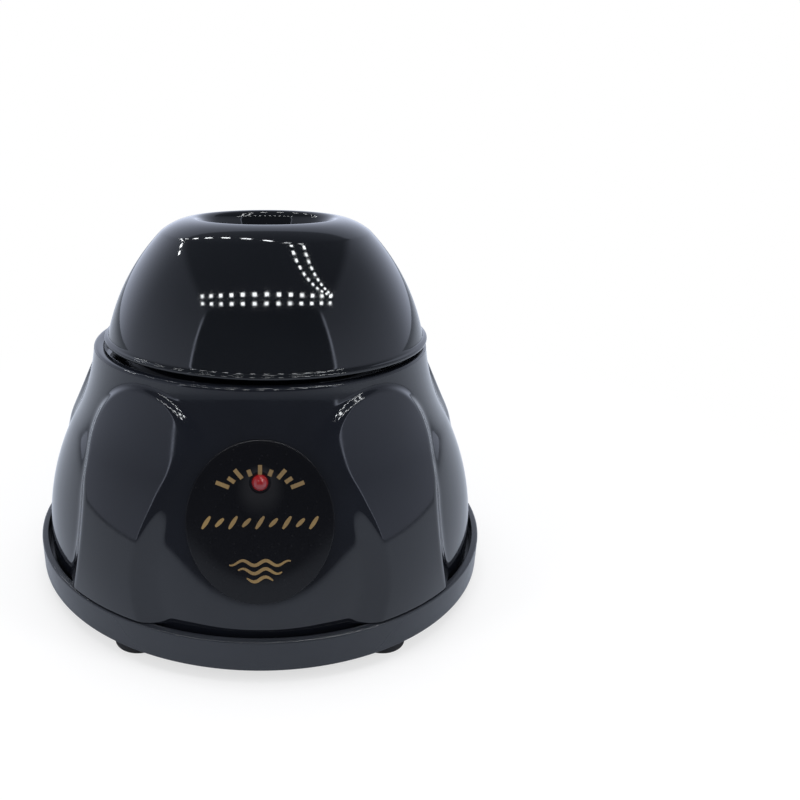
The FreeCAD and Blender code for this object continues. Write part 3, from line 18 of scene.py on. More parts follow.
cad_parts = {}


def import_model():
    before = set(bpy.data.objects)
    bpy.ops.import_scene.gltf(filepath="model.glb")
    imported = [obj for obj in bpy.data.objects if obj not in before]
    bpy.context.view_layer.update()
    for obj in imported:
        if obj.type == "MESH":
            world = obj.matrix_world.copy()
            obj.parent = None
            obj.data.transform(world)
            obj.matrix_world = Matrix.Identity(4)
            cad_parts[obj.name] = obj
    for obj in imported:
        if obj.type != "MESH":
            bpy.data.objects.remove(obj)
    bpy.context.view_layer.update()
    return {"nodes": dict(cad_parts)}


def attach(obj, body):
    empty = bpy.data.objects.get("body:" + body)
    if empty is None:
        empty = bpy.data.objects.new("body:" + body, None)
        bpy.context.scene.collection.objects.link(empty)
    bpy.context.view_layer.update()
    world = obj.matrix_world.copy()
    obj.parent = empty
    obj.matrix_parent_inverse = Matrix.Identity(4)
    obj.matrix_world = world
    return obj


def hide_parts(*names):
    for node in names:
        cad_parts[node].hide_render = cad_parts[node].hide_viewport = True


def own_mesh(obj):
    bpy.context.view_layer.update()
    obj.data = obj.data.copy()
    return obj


LOG = logging.getLogger("shaker")
MM = 0.001
Points = np.ndarray


# Curves of a section, as arrays of (radius, height)
def arc_through(start: tuple, middle: tuple, end: tuple, count: int) -> Points:
    """Points of the circle arc through three points.

    The centre is where the two chords' bisectors meet, and the angle runs evenly.

    Args:
        start: First point.
        middle: A point between.
        end: Last point.
        count: How many points.

    Returns:
        Array of (count, 2).
    """
    a, b, c = (np.array(p, float) for p in (start, middle, end))
    rows = 2 * np.array([b - a, c - a])
    centre = np.linalg.solve(rows, np.array([b @ b - a @ a, c @ c - a @ a]))
    turns = [np.arctan2(*(p - centre)[::-1]) for p in (a, b, c)]
    first = turns[0]
    rest = [(t - first) % (2 * pi) for t in turns]
    sweep = rest[2] if rest[1] < rest[2] else rest[2] - 2 * pi
    angles = first + sweep * np.linspace(0, 1, count)
    return centre + np.linalg.norm(a - centre) * np.stack([np.cos(angles), np.sin(angles)], 1)


def arc_onward(start: tuple, way: tuple, end: tuple, count: int) -> Points:
    """Points of the arc that leaves a point along a heading and reaches another point.

    The middle point stands off the chord by half the chord times the tangent of half the turn.

    Args:
        start: First point.
        way: Heading at the first point.
        end: Last point.
        count: How many points.

    Returns:
        Array of (count, 2).
    """
    a, b, w = np.array(start, float), np.array(end, float), np.array(way, float)
    chord = b - a
    turn = np.arctan2(w[0] * chord[1] - w[1] * chord[0], w @ chord)
    across = np.array([chord[1], -chord[0]]) / 2 * np.tan(turn / 2)
    return arc_through(start, tuple((a + b) / 2 + across), end, count)


def rounded(corners: list, count: int = 6) -> Points:
    """Closed outline through corners, each turned by an arc of its own radius.

    Each arc starts and ends on the two sides, at radius times the tangent of half the turn
    from the corner, and its points come from the quadratic that has the same tangents.

    Args:
        corners: (radius, height, rounding) of each corner.
        count: Points in each rounding.

    Returns:
        Array of (points, 2).
    """
    spots = np.array([c[:2] for c in corners], float)
    before = np.roll(spots, 1, 0) - spots
    after = np.roll(spots, -1, 0) - spots
    before /= np.linalg.norm(before, axis=1)[:, None]
    after /= np.linalg.norm(after, axis=1)[:, None]
    reach = np.array([c[2] for c in corners], float)[:, None]
    share = np.linspace(0, 1, count)[None, :, None]
    low = (spots + before * reach)[:, None, :]
    high = (spots + after * reach)[:, None, :]
    mid = spots[:, None, :]
    curve = low * (1 - share) ** 2 + 2 * mid * share * (1 - share) + high * share ** 2
    return curve.reshape(-1, 2)


# Meshes from grids
def turned(section: Points, angles: Points, centre: tuple = (0.0, 0.0)) -> Points:
    """Grid of a section turned about an upright axis.

    Each point is the section's radius along the angle's direction, at the section's height.

    Args:
        section: (rows, 2) of radius and height.
        angles: Column angles in radians.
        centre: Axis in X and Y.

    Returns:
        Array of (rows, columns, 3).
    """
    radius = section[:, :1]
    height = np.repeat(section[:, 1:], len(angles), 1)
    across = centre[0] + radius * np.cos(angles)[None, :]
    deep = centre[1] + radius * np.sin(angles)[None, :]
    return np.stack([across, deep, height], 2)


def even_turn(count: int) -> Points:
    """Even angles of one full turn."""
    return np.linspace(0, 2 * pi, count, endpoint=False)


def grid_faces(rows: int, columns: int, ring_rows: bool, ring_columns: bool) -> Points:
    """Quads of a grid, joined round where it closes on itself."""
    last_row = rows if ring_rows else rows - 1
    last_column = columns if ring_columns else columns - 1
    i, j = np.meshgrid(np.arange(last_row), np.arange(last_column), indexing="ij")
    down, along = (i + 1) % rows, (j + 1) % columns
    corners = [i * columns + j, i * columns + along, down * columns + along, down * columns + j]
    return np.stack(corners, 2).reshape(-1, 4)


def make_piece(name: str, grids: list, sharp: float = 40.0, flip: bool = False) -> bpy.types.Object:
    """Object from one or more closed grids, given in millimetres.

    Args:
        name: Object's name.
        grids: Tuples of (points, ring_rows, ring_columns).
        sharp: Edges that turn by more than this many degrees stay sharp.
        flip: Turns the faces round.

    Returns:
        The object, in metres, with shared points merged and smooth faces.
    """
    points, faces, base = [], [], 0
    for grid, ring_rows, ring_columns in grids:
        rows, columns = grid.shape[:2]
        points.append(grid.reshape(-1, 3))
        faces.append(grid_faces(rows, columns, ring_rows, ring_columns) + base)
        base += rows * columns
    mesh = bpy.data.meshes.new(name)
    mesh.from_pydata(np.concatenate(points) * MM, [], np.concatenate(faces).tolist())
    cleaned = bmesh.new()
    cleaned.from_mesh(mesh)
    bmesh.ops.remove_doubles(cleaned, verts=cleaned.verts, dist=2e-6)
    bmesh.ops.dissolve_degenerate(cleaned, dist=1e-7, edges=cleaned.edges)
    bmesh.ops.recalc_face_normals(cleaned, faces=cleaned.faces)
    if flip:
        bmesh.ops.reverse_faces(cleaned, faces=cleaned.faces)
    cleaned.to_mesh(mesh)
    cleaned.free()
    mesh.shade_smooth()
    mesh.set_sharp_from_angle(angle=radians(sharp))
    piece = bpy.data.objects.new(name, mesh)
    bpy.context.scene.collection.objects.link(piece)
    return piece


def placed(grid: Points, matrix: Matrix) -> Points:
    """Grid moved by a placement in millimetres."""
    turn = np.array(matrix.to_3x3())
    return grid @ turn.T + np.array(matrix.translation)


def cut_away(piece: bpy.types.Object, tools: list) -> None:
    """Cuts the tool objects out of a piece and drops them.

    Args:
        piece: Closed mesh.
        tools: Closed meshes that overlap it.
    """
    for tool in tools:
        step = piece.modifiers.new("cut", "BOOLEAN")
        step.object = tool
        step.operation = "DIFFERENCE"
        step.solver = "EXACT"
    depsgraph = bpy.context.evaluated_depsgraph_get()
    cut = bpy.data.meshes.new_from_object(piece.evaluated_get(depsgraph))
    piece.modifiers.clear()
    piece.data = cut
    cut.set_sharp_from_angle(angle=radians(32))
    for tool in tools:
        bpy.data.objects.remove(tool)


def upright_prism(outline: Points, low: float, high: float, matrix: Matrix) -> list:
    """Closed prism over an outline, as one grid with both ends drawn to their middle.

    Args:
        outline: (points, 2) across and up.
        low: Level of one end.
        high: Level of the other end.
        matrix: Placement in millimetres.

    Returns:
        List for make_piece.
    """
    middle = outline.mean(0)
    rings = [np.repeat(middle[None], len(outline), 0), outline, outline,
             np.repeat(middle[None], len(outline), 0)]
    levels = [low, low, high, high]
    flat = [np.concatenate([ring, np.full((len(outline), 1), level)], 1)
            for ring, level in zip(rings, levels)]
    return [(placed(np.stack(flat), matrix), False, True)]


def round_outline(radius: float, count: int, centre: tuple = (0.0, 0.0)) -> Points:
    """Even points of a circle."""
    angles = even_turn(count)
    return np.stack([centre[0] + radius * np.cos(angles), centre[1] + radius * np.sin(angles)], 1)


def soft_least(a: Points, b: Points, reach: float) -> Points:
    """Smaller of two fields, with the crease filled: least minus the cube of the overlap."""
    near = np.clip(1 - np.abs(a - b) / reach, 0, None)
    return np.minimum(a, b) - near ** 3 * reach / 6


def soft_most(a: Points, b: Points, reach: float) -> Points:
    """Larger of two fields, with the crease filled."""
    return -soft_least(-a, -b, reach)


@dataclass(frozen=True)
class Flat:
    """Tilted flat on the bell, given by two (radius, height) points in section."""

    low: tuple
    high: tuple
    turn: float = 0.0

    @property
    def lean(self) -> float:
        """Inward run for each millimetre of rise."""
        return (self.low[0] - self.high[0]) / (self.high[1] - self.low[1])

    def reach(self, height: Points) -> Points:
        """Distance of the flat from the axis at a height."""
        return self.low[0] - (height - self.low[1]) * self.lean

    def frame(self, height: float) -> Matrix:
        """Placement on the flat: X across, Y up the slope, Z outwards."""
        tilt = Matrix.Rotation(radians(90) - np.arctan(self.lean), 4, "X")
        seat = Matrix.Translation((0, -float(self.reach(height)), height))
        return Matrix.Rotation(radians(self.turn), 4, "Z") @ seat @ tilt


FRONT = Flat((49.7, 12.0), (38.45, 45.6))
REAR = Flat((49.0, 24.2), (39.9, 45.4), 180.0)
ECCENTRIC = 1.2


# Node groups
class Nodes:
    """Node tree with short calls to add and join nodes."""

    def __init__(self, tree: bpy.types.NodeTree) -> None:
        """Keeps the tree."""
        self.tree = tree

    def add(self, kind: str, sockets: dict = None, **settings: object) -> bpy.types.Node:
        """Adds a node.

        Args:
            kind: Node type.
            sockets: Values or source sockets by input name or number.
            settings: Node properties.

        Returns:
            The node.
        """
        node = self.tree.nodes.new(kind)
        for name, value in settings.items():
            setattr(node, name, value)
        for key, value in (sockets or {}).items():
            if isinstance(value, bpy.types.NodeSocket):
                self.tree.links.new(value, node.inputs[key])
            else:
                node.inputs[key].default_value = value
        return node

    def math(self, operation: str, *values: object) -> bpy.types.NodeSocket:
        """Result of a Math node."""
        node = self.add("ShaderNodeMath", dict(enumerate(values)), operation=operation)
        return node.outputs[0]

    def scaled(self, value: object, low: float, high: float, start: object,
               end: object) -> bpy.types.NodeSocket:
        """Value carried smoothly from one range to another."""
        node = self.add("ShaderNodeMapRange", {"Value": value, "From Min": low, "From Max": high,
                                               "To Min": start, "To Max": end},
                        interpolation_type="SMOOTHSTEP")
        return node.outputs[0]

    def blend(self, share: object, first: object, second: object) -> bpy.types.NodeSocket:
        """Mix of two colours."""
        node = self.add("ShaderNodeMix", data_type="RGBA")
        for spot, value in ((0, share), (6, first), (7, second)):
            if isinstance(value, bpy.types.NodeSocket):
                self.tree.links.new(value, node.inputs[spot])
            else:
                node.inputs[spot].default_value = value
        return node.outputs[2]


def shared_group(name: str, inputs: dict, outputs: tuple) -> tuple:
    """Empty node group with its sockets.

    Args:
        name: Group's name.
        inputs: Socket type and default by name.
        outputs: Names and types of what it puts out.

    Returns:
        The group, its Nodes, its input node and its output node.
    """
    group = bpy.data.node_groups.new(name, "ShaderNodeTree")
    for label, (kind, value) in inputs.items():
        socket = group.interface.new_socket(label, in_out="INPUT", socket_type=kind)
        socket.default_value = value
    for label, kind in outputs:
        group.interface.new_socket(label, in_out="OUTPUT", socket_type=kind)
    nodes = Nodes(group)
    return group, nodes, nodes.add("NodeGroupInput"), nodes.add("NodeGroupOutput")


FLOAT = "NodeSocketFloat"
COLOUR = "NodeSocketColor"
SKIN_OUT = (("Colour", COLOUR), ("Roughness", FLOAT), ("Height", FLOAT))


def moulded_skin() -> bpy.types.NodeTree:
    """Group for moulded and polished plastic.

    Two tones drift into each other over centimetres. Hairline scratches are where a stretched
    noise crosses its middle, and dust is a scatter of specks that lie thicker on what faces up.

    Returns:
        The group.
    """
    group, nodes, given, result = shared_group("moulded_skin", {
        "Tone": (COLOUR, (0, 0, 0, 1)), "Second Tone": (COLOUR, (0, 0, 0, 1)),
        "Dust Tone": (COLOUR, (0.3, 0.3, 0.32, 1)), "Grain Scale": (FLOAT, 900.0),
        "Low Roughness": (FLOAT, 0.1), "High Roughness": (FLOAT, 0.2),
        "Scratches": (FLOAT, 0.3), "Dust": (FLOAT, 0.1), "Wear": (FLOAT, 0.1)}, SKIN_OUT)
    place = nodes.add("ShaderNodeTexCoord").outputs["Object"]
    drift = nodes.add("ShaderNodeTexNoise", {"Vector": place, "Scale": 45.0, "Detail": 3.0})
    grain = nodes.add("ShaderNodeTexNoise", {"Vector": place, "Scale": given.outputs["Grain Scale"],
                                             "Detail": 2.0})
    stretched = nodes.add("ShaderNodeMapping", {"Vector": place, "Rotation": (0.4, 0.7, 0.3),
                                                "Scale": (1.0, 5.0, 1.4)}).outputs[0]
    hair = nodes.add("ShaderNodeTexNoise", {"Vector": stretched, "Scale": 60.0, "Detail": 5.0})
    crossing = nodes.math("ABSOLUTE", nodes.math("SUBTRACT", hair.outputs[0], 0.5))
    line = nodes.scaled(crossing, 0.0, 0.004, 1.0, 0.0)
    scratch = nodes.math("MULTIPLY", line, given.outputs["Scratches"])
    speck = nodes.add("ShaderNodeTexVoronoi", {"Vector": place, "Scale": 900.0})
    spot = nodes.scaled(speck.outputs["Distance"], 0.08, 0.16, 1.0, 0.0)
    facing = nodes.add("ShaderNodeSeparateXYZ", {0: nodes.add("ShaderNodeNewGeometry").outputs[1]})
    upward = nodes.scaled(facing.outputs[2], -0.2, 1.0, 0.15, 1.0)
    film = nodes.math("MULTIPLY", nodes.math("MULTIPLY", spot, upward), given.outputs["Dust"])
    edge = nodes.scaled(nodes.add("ShaderNodeNewGeometry").outputs["Pointiness"], 0.52, 0.6,
                        0.0, 1.0)
    worn = nodes.math("MULTIPLY", nodes.math("MULTIPLY", edge, drift.outputs[0]),
                      given.outputs["Wear"])
    mixed = nodes.blend(nodes.scaled(drift.outputs[0], 0.35, 0.65, 0.0, 1.0),
                        given.outputs["Tone"], given.outputs["Second Tone"])
    dusty = nodes.blend(nodes.math("MAXIMUM", film, worn), mixed, given.outputs["Dust Tone"])
    rough = nodes.scaled(grain.outputs[0], 0.3, 0.7, given.outputs["Low Roughness"],
                         given.outputs["High Roughness"])
    rougher = nodes.math("ADD", rough, nodes.math("MULTIPLY", nodes.math("ADD", film, scratch), 0.35))
    height = nodes.math("SUBTRACT", grain.outputs[0], scratch)
    for name, socket in (("Colour", dusty), ("Roughness", rougher), ("Height", height)):
        nodes.tree.links.new(socket, result.inputs[name])
    return group


def worked_metal() -> bpy.types.NodeTree:
    """Group for turned, drawn and plated metal.

    A noise stretched along one way makes the tool lines, and a slow noise stains the tone.

    Returns:
        The group.
    """
    group, nodes, given, result = shared_group("worked_metal", {
        "Tone": (COLOUR, (0.5, 0.5, 0.5, 1)), "Second Tone": (COLOUR, (0.4, 0.4, 0.4, 1)),
        "Line Scale": (FLOAT, 600.0), "Low Roughness": (FLOAT, 0.2),
        "High Roughness": (FLOAT, 0.4)}, SKIN_OUT)
    place = nodes.add("ShaderNodeTexCoord").outputs["Object"]
    drawn = nodes.add("ShaderNodeMapping", {"Vector": place, "Scale": (0.06, 0.06, 1.0)}).outputs[0]
    lines = nodes.add("ShaderNodeTexNoise", {"Vector": drawn, "Scale": given.outputs["Line Scale"],
                                             "Detail": 4.0})
    stain = nodes.add("ShaderNodeTexNoise", {"Vector": place, "Scale": 120.0, "Detail": 4.0})
    tone = nodes.blend(nodes.scaled(stain.outputs[0], 0.35, 0.7, 0.0, 1.0),
                       given.outputs["Tone"], given.outputs["Second Tone"])
    rough = nodes.scaled(lines.outputs[0], 0.3, 0.7, given.outputs["Low Roughness"],
                         given.outputs["High Roughness"])
    for name, socket in (("Colour", tone), ("Roughness", rough), ("Height", lines.outputs[0])):
        nodes.tree.links.new(socket, result.inputs[name])
    return group


class Skin(Enum):
    """Which shared group a finish is worked by."""

    MOULDED = "moulded_skin"
    METAL = "worked_metal"


@dataclass(frozen=True)
class Finish:
    """Look of one material."""

    name: str
    tone: tuple
    second: tuple
    rough: tuple
    skin: Skin = Skin.MOULDED
    grain: float = 900.0
    relief: float = 0.02
    scratches: float = 0.2
    dust: float = 0.06
    wear: float = 0.1
    coat: float = 0.0
    coat_rough: float = 0.04
    level: float = 0.5
    glow: float = 0.0

    def material(self) -> bpy.types.Material:
        """Builds the material, or returns it where it is built already."""
        ready = bpy.data.materials.get(self.name)
        if ready:
            return ready
        material = bpy.data.materials.new(self.name)
        material.use_nodes = True
        material.node_tree.nodes.clear()
        nodes = Nodes(material.node_tree)
        skin = nodes.add("ShaderNodeGroup", node_tree=bpy.data.node_groups[self.skin.value])
        values = {"Tone": (*self.tone, 1), "Second Tone": (*self.second, 1),
                  "Low Roughness": self.rough[0], "High Roughness": self.rough[1]}
        if self.skin is Skin.MOULDED:
            values.update({"Grain Scale": self.grain, "Scratches": self.scratches,
                           "Dust": self.dust, "Wear": self.wear})
        else:
            values["Line Scale"] = self.grain
        for name, value in values.items():
            skin.inputs[name].default_value = value
        bump = nodes.add("ShaderNodeBump", {"Height": skin.outputs["Height"],
                                            "Strength": self.relief, "Distance": 0.0001})
        shader = nodes.add("ShaderNodeBsdfPrincipled", {
            "Base Color": skin.outputs["Colour"], "Roughness": skin.outputs["Roughness"],
            "Normal": bump.outputs[0], "Metallic": float(self.skin is Skin.METAL),
            "Coat Weight": self.coat, "Coat Roughness": self.coat_rough,
            "Specular IOR Level": self.level})
        if self.glow:
            nodes.tree.links.new(skin.outputs["Colour"], shader.inputs["Emission Color"])
            shader.inputs["Emission Strength"].default_value = self.glow
        output = nodes.add("ShaderNodeOutputMaterial")
        nodes.tree.links.new(shader.outputs[0], output.inputs[0])
        return material


GLOSS_BLACK = Finish("gloss_black_shell", (0.0085, 0.0100, 0.0150), (0.0065, 0.0075, 0.0110),
                     (0.045, 0.085), grain=500.0, relief=0.012, scratches=0.05, dust=0.02, wear=0.02)
DOME_BLACK = Finish("gloss_black_dome", (0.0060, 0.0072, 0.0095), (0.0045, 0.0055, 0.0075),
                    (0.035, 0.070), grain=500.0, relief=0.010, scratches=0.05, dust=0.02, wear=0.02)
SATIN_RING = Finish("satin_black_ring", (0.0220, 0.0250, 0.0320), (0.0180, 0.0205, 0.0265),
                    (0.22, 0.26), grain=700.0, relief=0.006, scratches=0.02, dust=0.0, wear=0.0)
FOOT_RUBBER = Finish("foot_rubber", (0.018, 0.018, 0.019), (0.012, 0.012, 0.013), (0.65, 0.85),
                     grain=2500.0, relief=0.25, dust=0.25)
LABEL_FILM = Finish("label_film", (0.0050, 0.0052, 0.0070), (0.0040, 0.0042, 0.0058), (0.16, 0.24),
                    grain=3000.0, relief=0.03, scratches=0.05, dust=0.05, level=0.22)
GOLD_INK = Finish("gold_ink", (0.36, 0.23, 0.075), (0.25, 0.155, 0.05), (0.35, 0.55),
                  grain=4000.0, relief=0.15, scratches=0.0, dust=0.0)
RED_LENS = Finish("red_lens", (0.36, 0.014, 0.014), (0.26, 0.008, 0.010), (0.05, 0.12),
                  grain=1500.0, relief=0.01, scratches=0.0, dust=0.02, coat=0.6, glow=0.10)
SWITCH_NYLON = Finish("switch_nylon", (0.020, 0.020, 0.021), (0.014, 0.014, 0.015), (0.22, 0.34),
                      grain=1800.0, relief=0.08)
SWITCH_MARK = Finish("white_mark", (0.72, 0.72, 0.70), (0.62, 0.62, 0.60), (0.4, 0.5),
                     grain=3000.0, relief=0.05)
INLET_BLACK = Finish("inlet_black", (0.022, 0.022, 0.023), (0.015, 0.015, 0.016), (0.30, 0.42),
                     grain=1800.0, relief=0.08)
WHITE_NYLON = Finish("white_nylon", (0.66, 0.65, 0.60), (0.58, 0.57, 0.53), (0.40, 0.55),
                     grain=1200.0, relief=0.08)
DARK_NYLON = Finish("glass_nylon", (0.035, 0.035, 0.037), (0.024, 0.024, 0.026), (0.45, 0.60),
                    grain=2200.0, relief=0.25)
RED_NYLON = Finish("red_nylon", (0.45, 0.04, 0.03), (0.36, 0.03, 0.025), (0.35, 0.45), grain=1500.0)
LAMINATE = Finish("green_laminate", (0.015, 0.115, 0.045), (0.010, 0.085, 0.035), (0.22, 0.34),
                  grain=2600.0, relief=0.06)
CHIP_BLACK = Finish("chip_black", (0.022, 0.022, 0.025), (0.015, 0.015, 0.017), (0.35, 0.50),
                    grain=2600.0, relief=0.10)
FERRITE = Finish("ferrite", (0.060, 0.060, 0.064), (0.040, 0.040, 0.044), (0.55, 0.75),
                 grain=2200.0, relief=0.3)
BRUSH_CARBON = Finish("brush_carbon", (0.05, 0.05, 0.05), (0.03, 0.03, 0.03), (0.5, 0.65),
                      grain=2600.0, relief=0.2)
ZINC = Finish("zinc_plate", (0.62, 0.62, 0.60), (0.52, 0.52, 0.52), (0.22, 0.38), Skin.METAL)
STEEL = Finish("plain_steel", (0.50, 0.51, 0.53), (0.40, 0.41, 0.43), (0.25, 0.45), Skin.METAL)
SPRING_STEEL = Finish("spring_steel", (0.55, 0.55, 0.56), (0.42, 0.42, 0.43), (0.20, 0.34),
                      Skin.METAL, grain=900.0)
BEARING_STEEL = Finish("bearing_steel", (0.68, 0.69, 0.70), (0.60, 0.61, 0.62), (0.08, 0.16),
                       Skin.METAL, relief=0.01)
OXIDE_STEEL = Finish("oxide_steel", (0.09, 0.09, 0.095), (0.06, 0.06, 0.065), (0.30, 0.45),
                     Skin.METAL)
CORE_STEEL = Finish("core_laminations", (0.34, 0.34, 0.36), (0.24, 0.24, 0.26), (0.30, 0.50),
                    Skin.METAL, grain=2400.0, relief=0.2)
COPPER_WIRE = Finish("enamelled_copper", (0.62, 0.26, 0.10), (0.50, 0.20, 0.07), (0.20, 0.32),
                     Skin.METAL, grain=3600.0, relief=0.4)
COPPER = Finish("bare_copper", (0.72, 0.38, 0.22), (0.58, 0.29, 0.16), (0.20, 0.36), Skin.METAL)
BRASS = Finish("turned_brass", (0.74, 0.55, 0.25), (0.62, 0.45, 0.20), (0.18, 0.34), Skin.METAL)
TINNED = Finish("tinned_brass", (0.72, 0.66, 0.50), (0.60, 0.54, 0.40), (0.25, 0.40), Skin.METAL)

CARRIED = {
    "ballast_plate": STEEL, "base_screws": ZINC, "standoffs": WHITE_NYLON,
    "standoff_screws": ZINC, "guide_screws": ZINC, 
    "press_switch": SWITCH_NYLON, "press_switch_plunger": RED_NYLON, "control_board": LAMINATE,
    "board_parts": CHIP_BLACK, "board_screws": ZINC, "jack_pin": TINNED, "jack_nut": ZINC,
    "switch_terminals": TINNED, "motor_cradle": DARK_NYLON, "motor_can": ZINC,
    "motor_magnets": FERRITE, "motor_end_cap": DARK_NYLON, "motor_brushes": BRUSH_CARBON,
    "motor_terminals": TINNED, "motor_screws": ZINC, "anti_turn_pins": ZINC,
    "pin_sleeves": WHITE_NYLON, "motor_shaft": STEEL, "armature_core": CORE_STEEL,
    "armature_windings": COPPER_WIRE, "commutator": COPPER, "eccentric_hub": BRASS,
    "set_screw": OXIDE_STEEL, "counterweight": STEEL, "bearing_inner_ring": BEARING_STEEL,
    "bearing_balls": BEARING_STEEL, "bearing_outer_ring": BEARING_STEEL,
    "head_carrier": DARK_NYLON, "carrier_screws": ZINC,
}


def settle(piece: bpy.types.Object, finish: Finish, body: str, node: str = "") -> None:
    """Dresses a new piece, lets it ride and hides the CAD node that it stands for.

    Args:
        piece: The object.
        finish: Its look.
        body: Body that carries it.
        node: CAD node that it stands for, if any.
    """
    piece.data.materials.clear()
    piece.data.materials.append(finish.material())
    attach(piece, body)
    if node:
        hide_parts(node)
    LOG.info("%s: %d faces on %s", piece.name, len(piece.data.polygons), body)


@dataclass
class BodyShell:
    """Bell with five raised panels, the front flat, the rim, the deck and the collar."""

    foot: float = 5.2
    seam: float = 9.35
    skirt: float = 50.2
    skirt_top: float = 9.2
    belly: tuple = (48.4, 22.5)
    knee: tuple = (42.8, 36.0)
    neck: tuple = (37.3, 52.0)
    neck_round: float = 0.6
    panel_foot: tuple = (52.3, 9.35)
    panel_belly: tuple = (50.3, 22.5)
    panel_knee: tuple = (44.4, 36.0)
    panel_crown: tuple = (38.2, 50.6)
    foot_half: float = 8.2
    head_half: float = 12.7
    head_tall: float = 41.0
    arch_tall: float = 49.8
    arch_pinch: float = 1.2
    bevel_rate: float = 1.4
    panel_count: int = 5
    edge_blend: float = 0.55
    root_blend: float = 0.7
    flat_blend: float = 1.6
    wall: float = 2.2
    rim_inner: float = 35.0
    deck_top: float = 50.8
    deck_low: float = 48.8
    collar_outer: float = 31.0
    collar_inner: float = 29.0
    collar_top: float = 56.5
    columns: int = 700
    halvings: int = 22

    def flank(self, start: tuple, middle: tuple, knee: tuple, crown: tuple) -> Points:
        """Section points of a flank: an arc through three points, then one tangent to it."""
        lower = arc_through(start, middle, knee, 160)
        upper = arc_onward(knee, tuple(lower[-1] - lower[-2]), crown, 160)
        return np.concatenate([lower, upper[1:]])

    def bell(self, height: Points) -> Points:
        """Radius of the bell at a height, straight below the skirt's top."""
        curve = self.flank((self.skirt, self.skirt_top), self.belly, self.knee, self.neck)
        return np.interp(height, curve[:, 1], curve[:, 0])

    def panel(self, height: Points) -> Points:
        """Radius of the panels' faces at a height, with the foot's edge turned in."""
        curve = self.flank(self.panel_foot, self.panel_belly, self.panel_knee, self.panel_crown)
        radius = np.interp(height, curve[:, 1], curve[:, 0])
        tip = 0.35
        drop = np.clip(1 - (height - self.seam) / tip, 0, 1)
        rise = np.clip(height - self.panel_crown[1], 0, None)
        return radius - tip * (1 - np.sqrt(1 - drop ** 2)) - 0.9 * rise

    def bevel(self, height: Points, turn: Points) -> Points:
        """Radius at which the panel's bevel is met, found by halving.

        A point lies on the bevel where its distance out from the panel's plane times the bevel
        rate equals its distance inside the panel's outline. The outline is two straight sides
        that widen evenly from foot to head, under an arch that is one circle, pinched sideways.

        Args:
            height: Heights, any shape.
            turn: Angles from the panel's middle, same shape.

        Returns:
            Radii, same shape.
        """
        rise = self.panel_crown[1] - self.panel_foot[1]
        run = self.panel_foot[0] - self.panel_crown[0]
        slope = hypot(rise, run)
        head = (self.head_tall - self.panel_foot[1]) * slope / rise
        crown = (self.arch_tall - self.panel_foot[1]) * slope / rise
        rate = (self.head_half - self.foot_half) / head
        centre = (crown ** 2 - head ** 2 - self.head_half ** 2) / (2 * (crown - head))
        low = np.full(height.shape, 25.0)
        high = np.full(height.shape, 70.0)
        for _ in range(self.halvings):
            middle = (low + high) / 2
            across = np.abs(middle * np.sin(turn))
            outward = middle * np.cos(turn) - self.panel_foot[0]
            above = height - self.panel_foot[1]
            along = (above * rise - outward * run) / slope
            proud = (outward * rise + above * run) / slope
            side = (self.foot_half + rate * along - across) / hypot(1, rate)
            arch = crown - centre - np.hypot(across * self.arch_pinch,
                                             np.maximum(along - centre, 0))
            beyond = proud * self.bevel_rate > soft_least(side, arch, 0.4)
            high = np.where(beyond, middle, high)
            low = np.where(beyond, low, middle)
        return (low + high) / 2

    def outer(self, height: Points, angles: Points) -> Points:
        """Outer radius over heights and angles.

        It is the larger of the bell and of the panels, the panels being the smaller of their
        face and their bevel, and it is cut off by the front flat.

        Args:
            height: Row heights.
            angles: Column angles.

        Returns:
            Radii of (rows, columns).
        """
        tall, around = np.meshgrid(height, angles, indexing="ij")
        share = 2 * pi / self.panel_count
        turn = (around - pi / 2 + share / 2) % share - share / 2
        bell = self.bell(tall)
        raised = soft_least(self.panel(tall), self.bevel(tall, turn), self.edge_blend)
        raised = np.where(tall < self.seam, 0, raised)
        flat = self.front_flat(tall, around)
        return soft_least(soft_most(bell, raised, self.root_blend), flat, self.flat_blend)

    def front_flat(self, tall: Points, around: Points) -> Points:
        """Radius of the front flat, which bends out above its top so that it fades away."""
        reach = FRONT.reach(tall) + 0.035 * np.clip(tall - 41.5, 0, None) ** 2
        facing = np.cos(around + pi / 2)
        return np.where(facing > 0.3, reach / np.maximum(facing, 0.3), 90.0)

    def angles(self) -> Points:
        """Column angles, closer together where the panels' sides run.

        The spacing follows a density that is three times as high between 5 and 25 degrees from
        a panel's middle, and the angles are where its running sum reaches even shares.

        Returns:
            Array of angles.
        """
        fine = np.linspace(0, 2 * pi, 20001)
        share = 2 * pi / self.panel_count
        turn = np.abs((fine - pi / 2 + share / 2) % share - share / 2)
        dense = 1 + 2.0 * ((turn > radians(5)) & (turn < radians(25)))
        total = np.concatenate([[0], np.cumsum((dense[1:] + dense[:-1]) / 2)])
        shares = np.linspace(0, total[-1], self.columns, endpoint=False)
        return np.interp(shares, total, fine)

